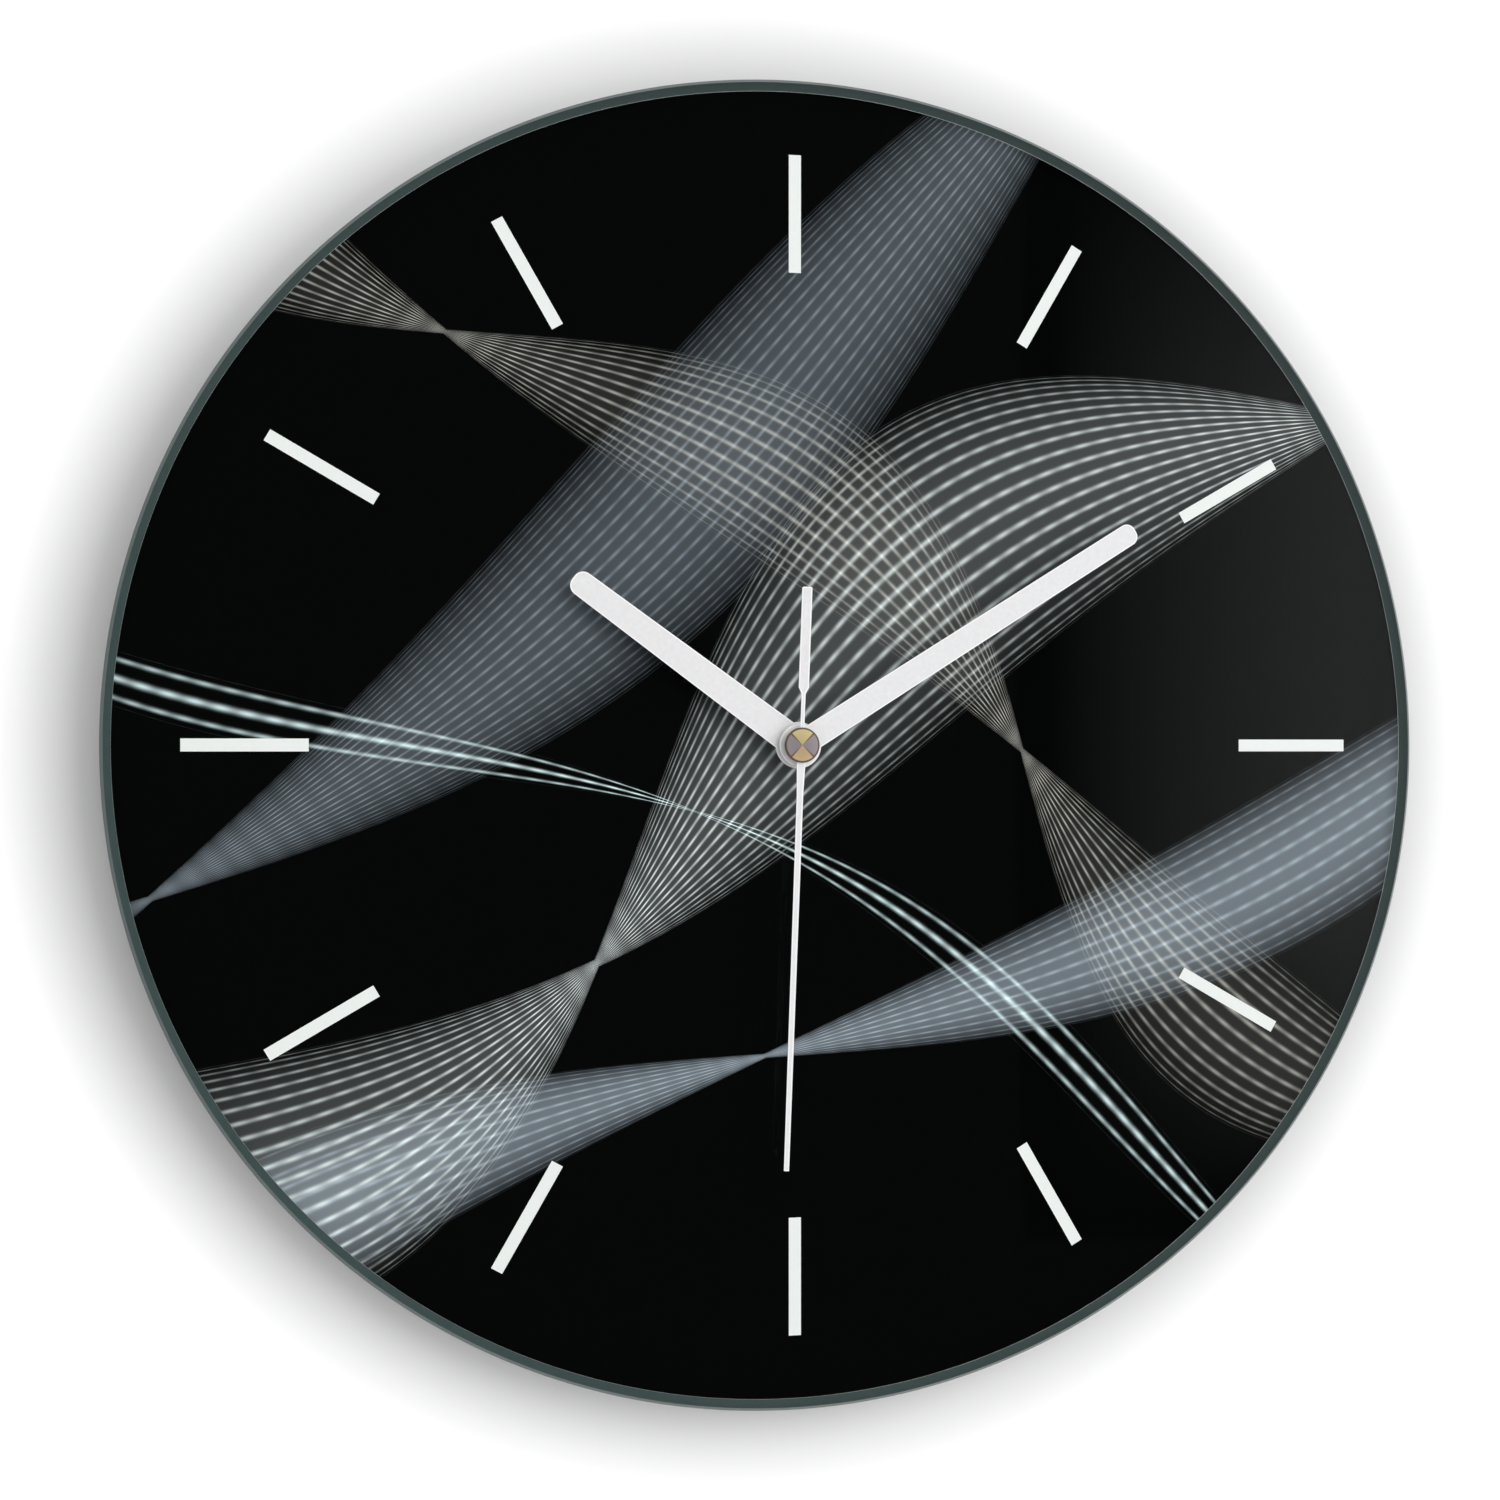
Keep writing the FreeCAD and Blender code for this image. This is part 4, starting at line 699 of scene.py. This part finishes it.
# From the flat negative end, over the sleeve with its two lips, to the nub at the positive end.
cell_outline = [
    (0.0, -cell_end + 0.00012, 1),
    (0.0042, -cell_end, 1),
    (0.0046, -cell_end + 0.0003, 1),
    (0.0062, -cell_end + 0.0003, 0),
    (0.0064, -cell_end + 0.0001, 0),
    (cell_radius - 0.0003, -cell_end + 0.00005, 0),
    (cell_radius, -cell_end + 0.0004, 0),
    (cell_radius, shoulder - 0.0005, 0),
    (cell_radius - 0.0004, shoulder, 0),
    (0.0062, shoulder - 0.0001, 0),
    (0.0060, shoulder - 0.0004, 2),
    (0.0040, shoulder - 0.0004, 1),
    (0.0038, shoulder - 0.0001, 1),
    (0.0030, shoulder, 1),
    (0.00275, shoulder + 0.0002, 1),
    (0.00275, cell_end - 0.0002, 1),
    (0.00250, cell_end, 1),
    (0.0, cell_end, 1),
]
cell = turned("cell", cell_outline, CELL_SEGMENTS, [sleeve_material(), nickel, washer], 40.0)
lying = Matrix.Rotation(-math.pi / 2, 4, "Z")
cell.data.transform(Matrix.Translation((0.0, cell_centre.y, cell_centre.z)) @ lying)
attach(cell, "battery")
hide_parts("battery_cell")

# Works inside the case and the shafts of the hands: moulded wheels, iron, wire, board and contact strips
# keep their own shapes and take the finish of what they are made of.
ROLLED = (0.1, 1.0, 1.0)
WOUND = (1.0, 0.02, 0.02)
works = {
    "pale_acetal": moulded("pale_acetal", (0.80, 0.79, 0.74), 2500.0, 0.000005, 0.35, 0.5),
    "iron": plain_metal("soft_iron", (0.36, 0.36, 0.37), 0.35, 0.5, 500.0, ROLLED),
    "copper_wire": plain_metal("enamelled_wire", (0.55, 0.22, 0.08), 0.25, 0.4, 5000.0, WOUND),
    "board_laminate": moulded("board_laminate", (0.33, 0.22, 0.09), 1500.0, 0.000008, 0.5, 0.65),
    "black_resin": moulded("black_resin", (0.010, 0.010, 0.011), 700.0, 0.00001, 0.12, 0.25),
    "nickel_strip": nickel,
    "steel": plain_metal("polished_steel", (0.58, 0.58, 0.59), 0.12, 0.22),
    "magnet": moulded("bonded_magnet", (0.10, 0.10, 0.105), 3000.0, 0.00001, 0.4, 0.55),
}
for part in frame["record"]["subparts"]:
    if part["material_slot"] in works:
        mesh = frame["nodes"][part["node"]].data
        mesh.materials.clear()
        mesh.materials.append(works[part["material_slot"]])

# Surroundings: a pale wall that the clock hangs on, a pale floor below it, and soft lamps. The wall glows
# white away from the clock, and its glow fades to none close by, which deepens the clock's shadow with
# painted shade.
WALL_GAP = 0.0005
WALL_HALF = 3.0
FLOOR_LEVEL = -1.4
WALL_WHITE = (0.75, 0.75, 0.75)
# The wall's glow: none near the clock, full from the far reach on, which is painted shade round the clock.
WALL_NEAR_GLOW = 0.0
WALL_FAR_GLOW = 1.0
FLOOR_LIFT = 0.65
PAINTED_SHADE_REACH = 0.1585
FULL_GLOW_REACH = 0.2105
CLOCK_MIDDLE = (0.0, -0.02, 0.0)
KEY_PLACE = (0.95, -2.0, 0.42)
KEY_SIDE = 2.1
KEY_POWER = 36.5
FILL_PLACE = (-1.3, -1.6, 1.2)
FILL_SIDE = 1.2
FILL_POWER = 3.0
BACK_PLACE = (1.0, 1.35, 0.9)
BACK_SIDE = 1.2
BACK_POWER = 45.0


def backdrop_material(name, near_glow, far_glow, one_sided):
    """Pale matte paint that glows white where seen; on the wall its glow fades near the clock: painted
    shade.
    """
    material, tree, shader = new_material(name)
    shader.inputs["Base Color"].default_value = (*WALL_WHITE, 1.0)
    shader.inputs["Roughness"].default_value = 1.0
    shader.inputs["Specular IOR Level"].default_value = 0.0
    rays = tree.nodes.new("ShaderNodeLightPath").outputs
    add = sums(tree)
    mirrored = add("MAXIMUM", rays["Is Glossy Ray"], rays["Is Transmission Ray"])
    seen = add("MAXIMUM", rays["Is Camera Ray"], mirrored)
    shader.inputs["Emission Color"].default_value = (1.0, 1.0, 1.0, 1.0)
    place = tree.nodes.new("ShaderNodeTexCoord").outputs["Object"]
    reach = joined(tree, "ShaderNodeVectorMath", {0: place}, operation="LENGTH").outputs["Value"]
    shade_painting_glow = between(tree, reach, near_glow, far_glow, PAINTED_SHADE_REACH, FULL_GLOW_REACH)
    tree.links.new(add("MULTIPLY", seen, shade_painting_glow), shader.inputs["Emission Strength"])
    if one_sided:
        behind = tree.nodes.new("ShaderNodeNewGeometry").outputs["Backfacing"]
        clear = tree.nodes.new("ShaderNodeBsdfTransparent").outputs[0]
        both = joined(tree, "ShaderNodeMixShader", {0: behind, 1: shader.outputs[0], 2: clear}).outputs[0]
        tree.links.new(both, tree.nodes["Material Output"].inputs["Surface"])
    return material


def plane(name, corners, material):
    """One flat face that is part of the stage."""
    bm = bmesh.new()
    bm.faces.new([bm.verts.new(corner) for corner in corners])
    thing = new_object(name, bm)
    thing.data.materials.append(material)
    return thing


wall_corners = [
    (-WALL_HALF, WALL_GAP, FLOOR_LEVEL),
    (WALL_HALF, WALL_GAP, FLOOR_LEVEL),
    (WALL_HALF, WALL_GAP, WALL_HALF),
    (-WALL_HALF, WALL_GAP, WALL_HALF),
]
wall = plane("wall", wall_corners, backdrop_material("wall_paint", WALL_NEAR_GLOW, WALL_FAR_GLOW, True))
wall.visible_diffuse = False
wall.visible_shadow = False
floor_corners = [
    (-WALL_HALF, -WALL_HALF, FLOOR_LEVEL),
    (WALL_HALF, -WALL_HALF, FLOOR_LEVEL),
    (WALL_HALF, WALL_HALF, FLOOR_LEVEL),
    (-WALL_HALF, WALL_HALF, FLOOR_LEVEL),
]
floor_paint = backdrop_material("floor_paint", FLOOR_LIFT, FLOOR_LIFT, False)
floor = plane("floor", floor_corners, floor_paint)
floor.visible_diffuse = False
floor.visible_shadow = False
floor.visible_glossy = False


def lamp(name, place, side, power):
    """A square soft lamp that faces the clock."""
    data = bpy.data.lights.new(name, "AREA")
    data.shape = "SQUARE"
    data.size = side
    data.energy = power
    thing = bpy.data.objects.new(name, data)
    thing.location = place
    thing.rotation_euler = (Vector(place) - Vector(CLOCK_MIDDLE)).to_track_quat("Z", "Y").to_euler()
    bpy.context.scene.collection.objects.link(thing)
    return thing


key = lamp("key_lamp", KEY_PLACE, KEY_SIDE, KEY_POWER)
fill = lamp("fill_lamp", FILL_PLACE, FILL_SIDE, FILL_POWER)
for front_lamp in (key, fill):
    front_lamp.visible_glossy = False
    front_lamp.visible_transmission = False
lamp("back_lamp", BACK_PLACE, BACK_SIDE, BACK_POWER)

# Softbox: a cloth at the right whose light fades out towards its edges. It is dim enough to show only as a
# sheen on the glass.
SOFTBOX_LIGHT = 0.45
SOFTBOX_PLACE = -1.0
softbox_material, tree, shader = new_material("softbox_cloth")
tree.nodes.remove(shader)
local = tree.nodes.new("ShaderNodeTexCoord").outputs["Object"]
local_parts = joined(tree, "ShaderNodeSeparateXYZ", {0: local}).outputs
add = sums(tree)
across_fall = between(tree, local_parts[0], 0.0, 1.0, 0.28, 0.46)
up_fall = between(tree, add("ABSOLUTE", add("SUBTRACT", local_parts[2], 0.06)), 1.0, 0.0, 0.16, 0.34)
fall = add("MULTIPLY", add("MULTIPLY", across_fall, up_fall), SOFTBOX_LIGHT)
glow = joined(tree, "ShaderNodeEmission", {"Strength": fall}).outputs[0]
tree.links.new(glow, tree.nodes["Material Output"].inputs["Surface"])
left, right, low, high = 0.26, 0.9, -0.3, 0.42
outline = [(left, low), (right, low), (right, high), (left, high)]
softbox_corners = [(x, SOFTBOX_PLACE, z) for x, z in outline]
softbox = plane("softbox", softbox_corners, softbox_material)
softbox.visible_camera = False
softbox.visible_diffuse = False
softbox.visible_shadow = False
softbox.visible_transmission = False

# World: even pale light. It is white where the camera looks, and dim in the part of the room that the glass
# mirrors.
WORLD_LIGHT = 0.45
DIM_LIGHT = 0.02
MIRRORED_WAY = (0.16, -0.985, -0.03)
world = bpy.data.worlds.new("studio")
bpy.context.scene.world = world
world.use_nodes = True
tree = world.node_tree
add = sums(tree)
ray = tree.nodes.new("ShaderNodeLightPath").outputs
heading = tree.nodes.new("ShaderNodeTexCoord").outputs["Generated"]
ways = {0: heading, 1: MIRRORED_WAY}
facing = joined(tree, "ShaderNodeVectorMath", ways, operation="DOT_PRODUCT").outputs["Value"]
mirrored = between(tree, facing, 1.0, DIM_LIGHT, 0.72, 0.86)
through = add("MAXIMUM", ray["Is Glossy Ray"], ray["Is Transmission Ray"])
seen = add("MAXIMUM", ray["Is Camera Ray"], through)
shown = add("ADD", ray["Is Camera Ray"], add("MULTIPLY", through, mirrored))
plain = add("MULTIPLY", add("SUBTRACT", 1.0, seen), WORLD_LIGHT)
strength = add("ADD", shown, plain)
tree.links.new(strength, tree.nodes["Background"].inputs["Strength"])
tree.nodes["Background"].inputs["Color"].default_value = (1.0, 1.0, 1.0, 1.0)
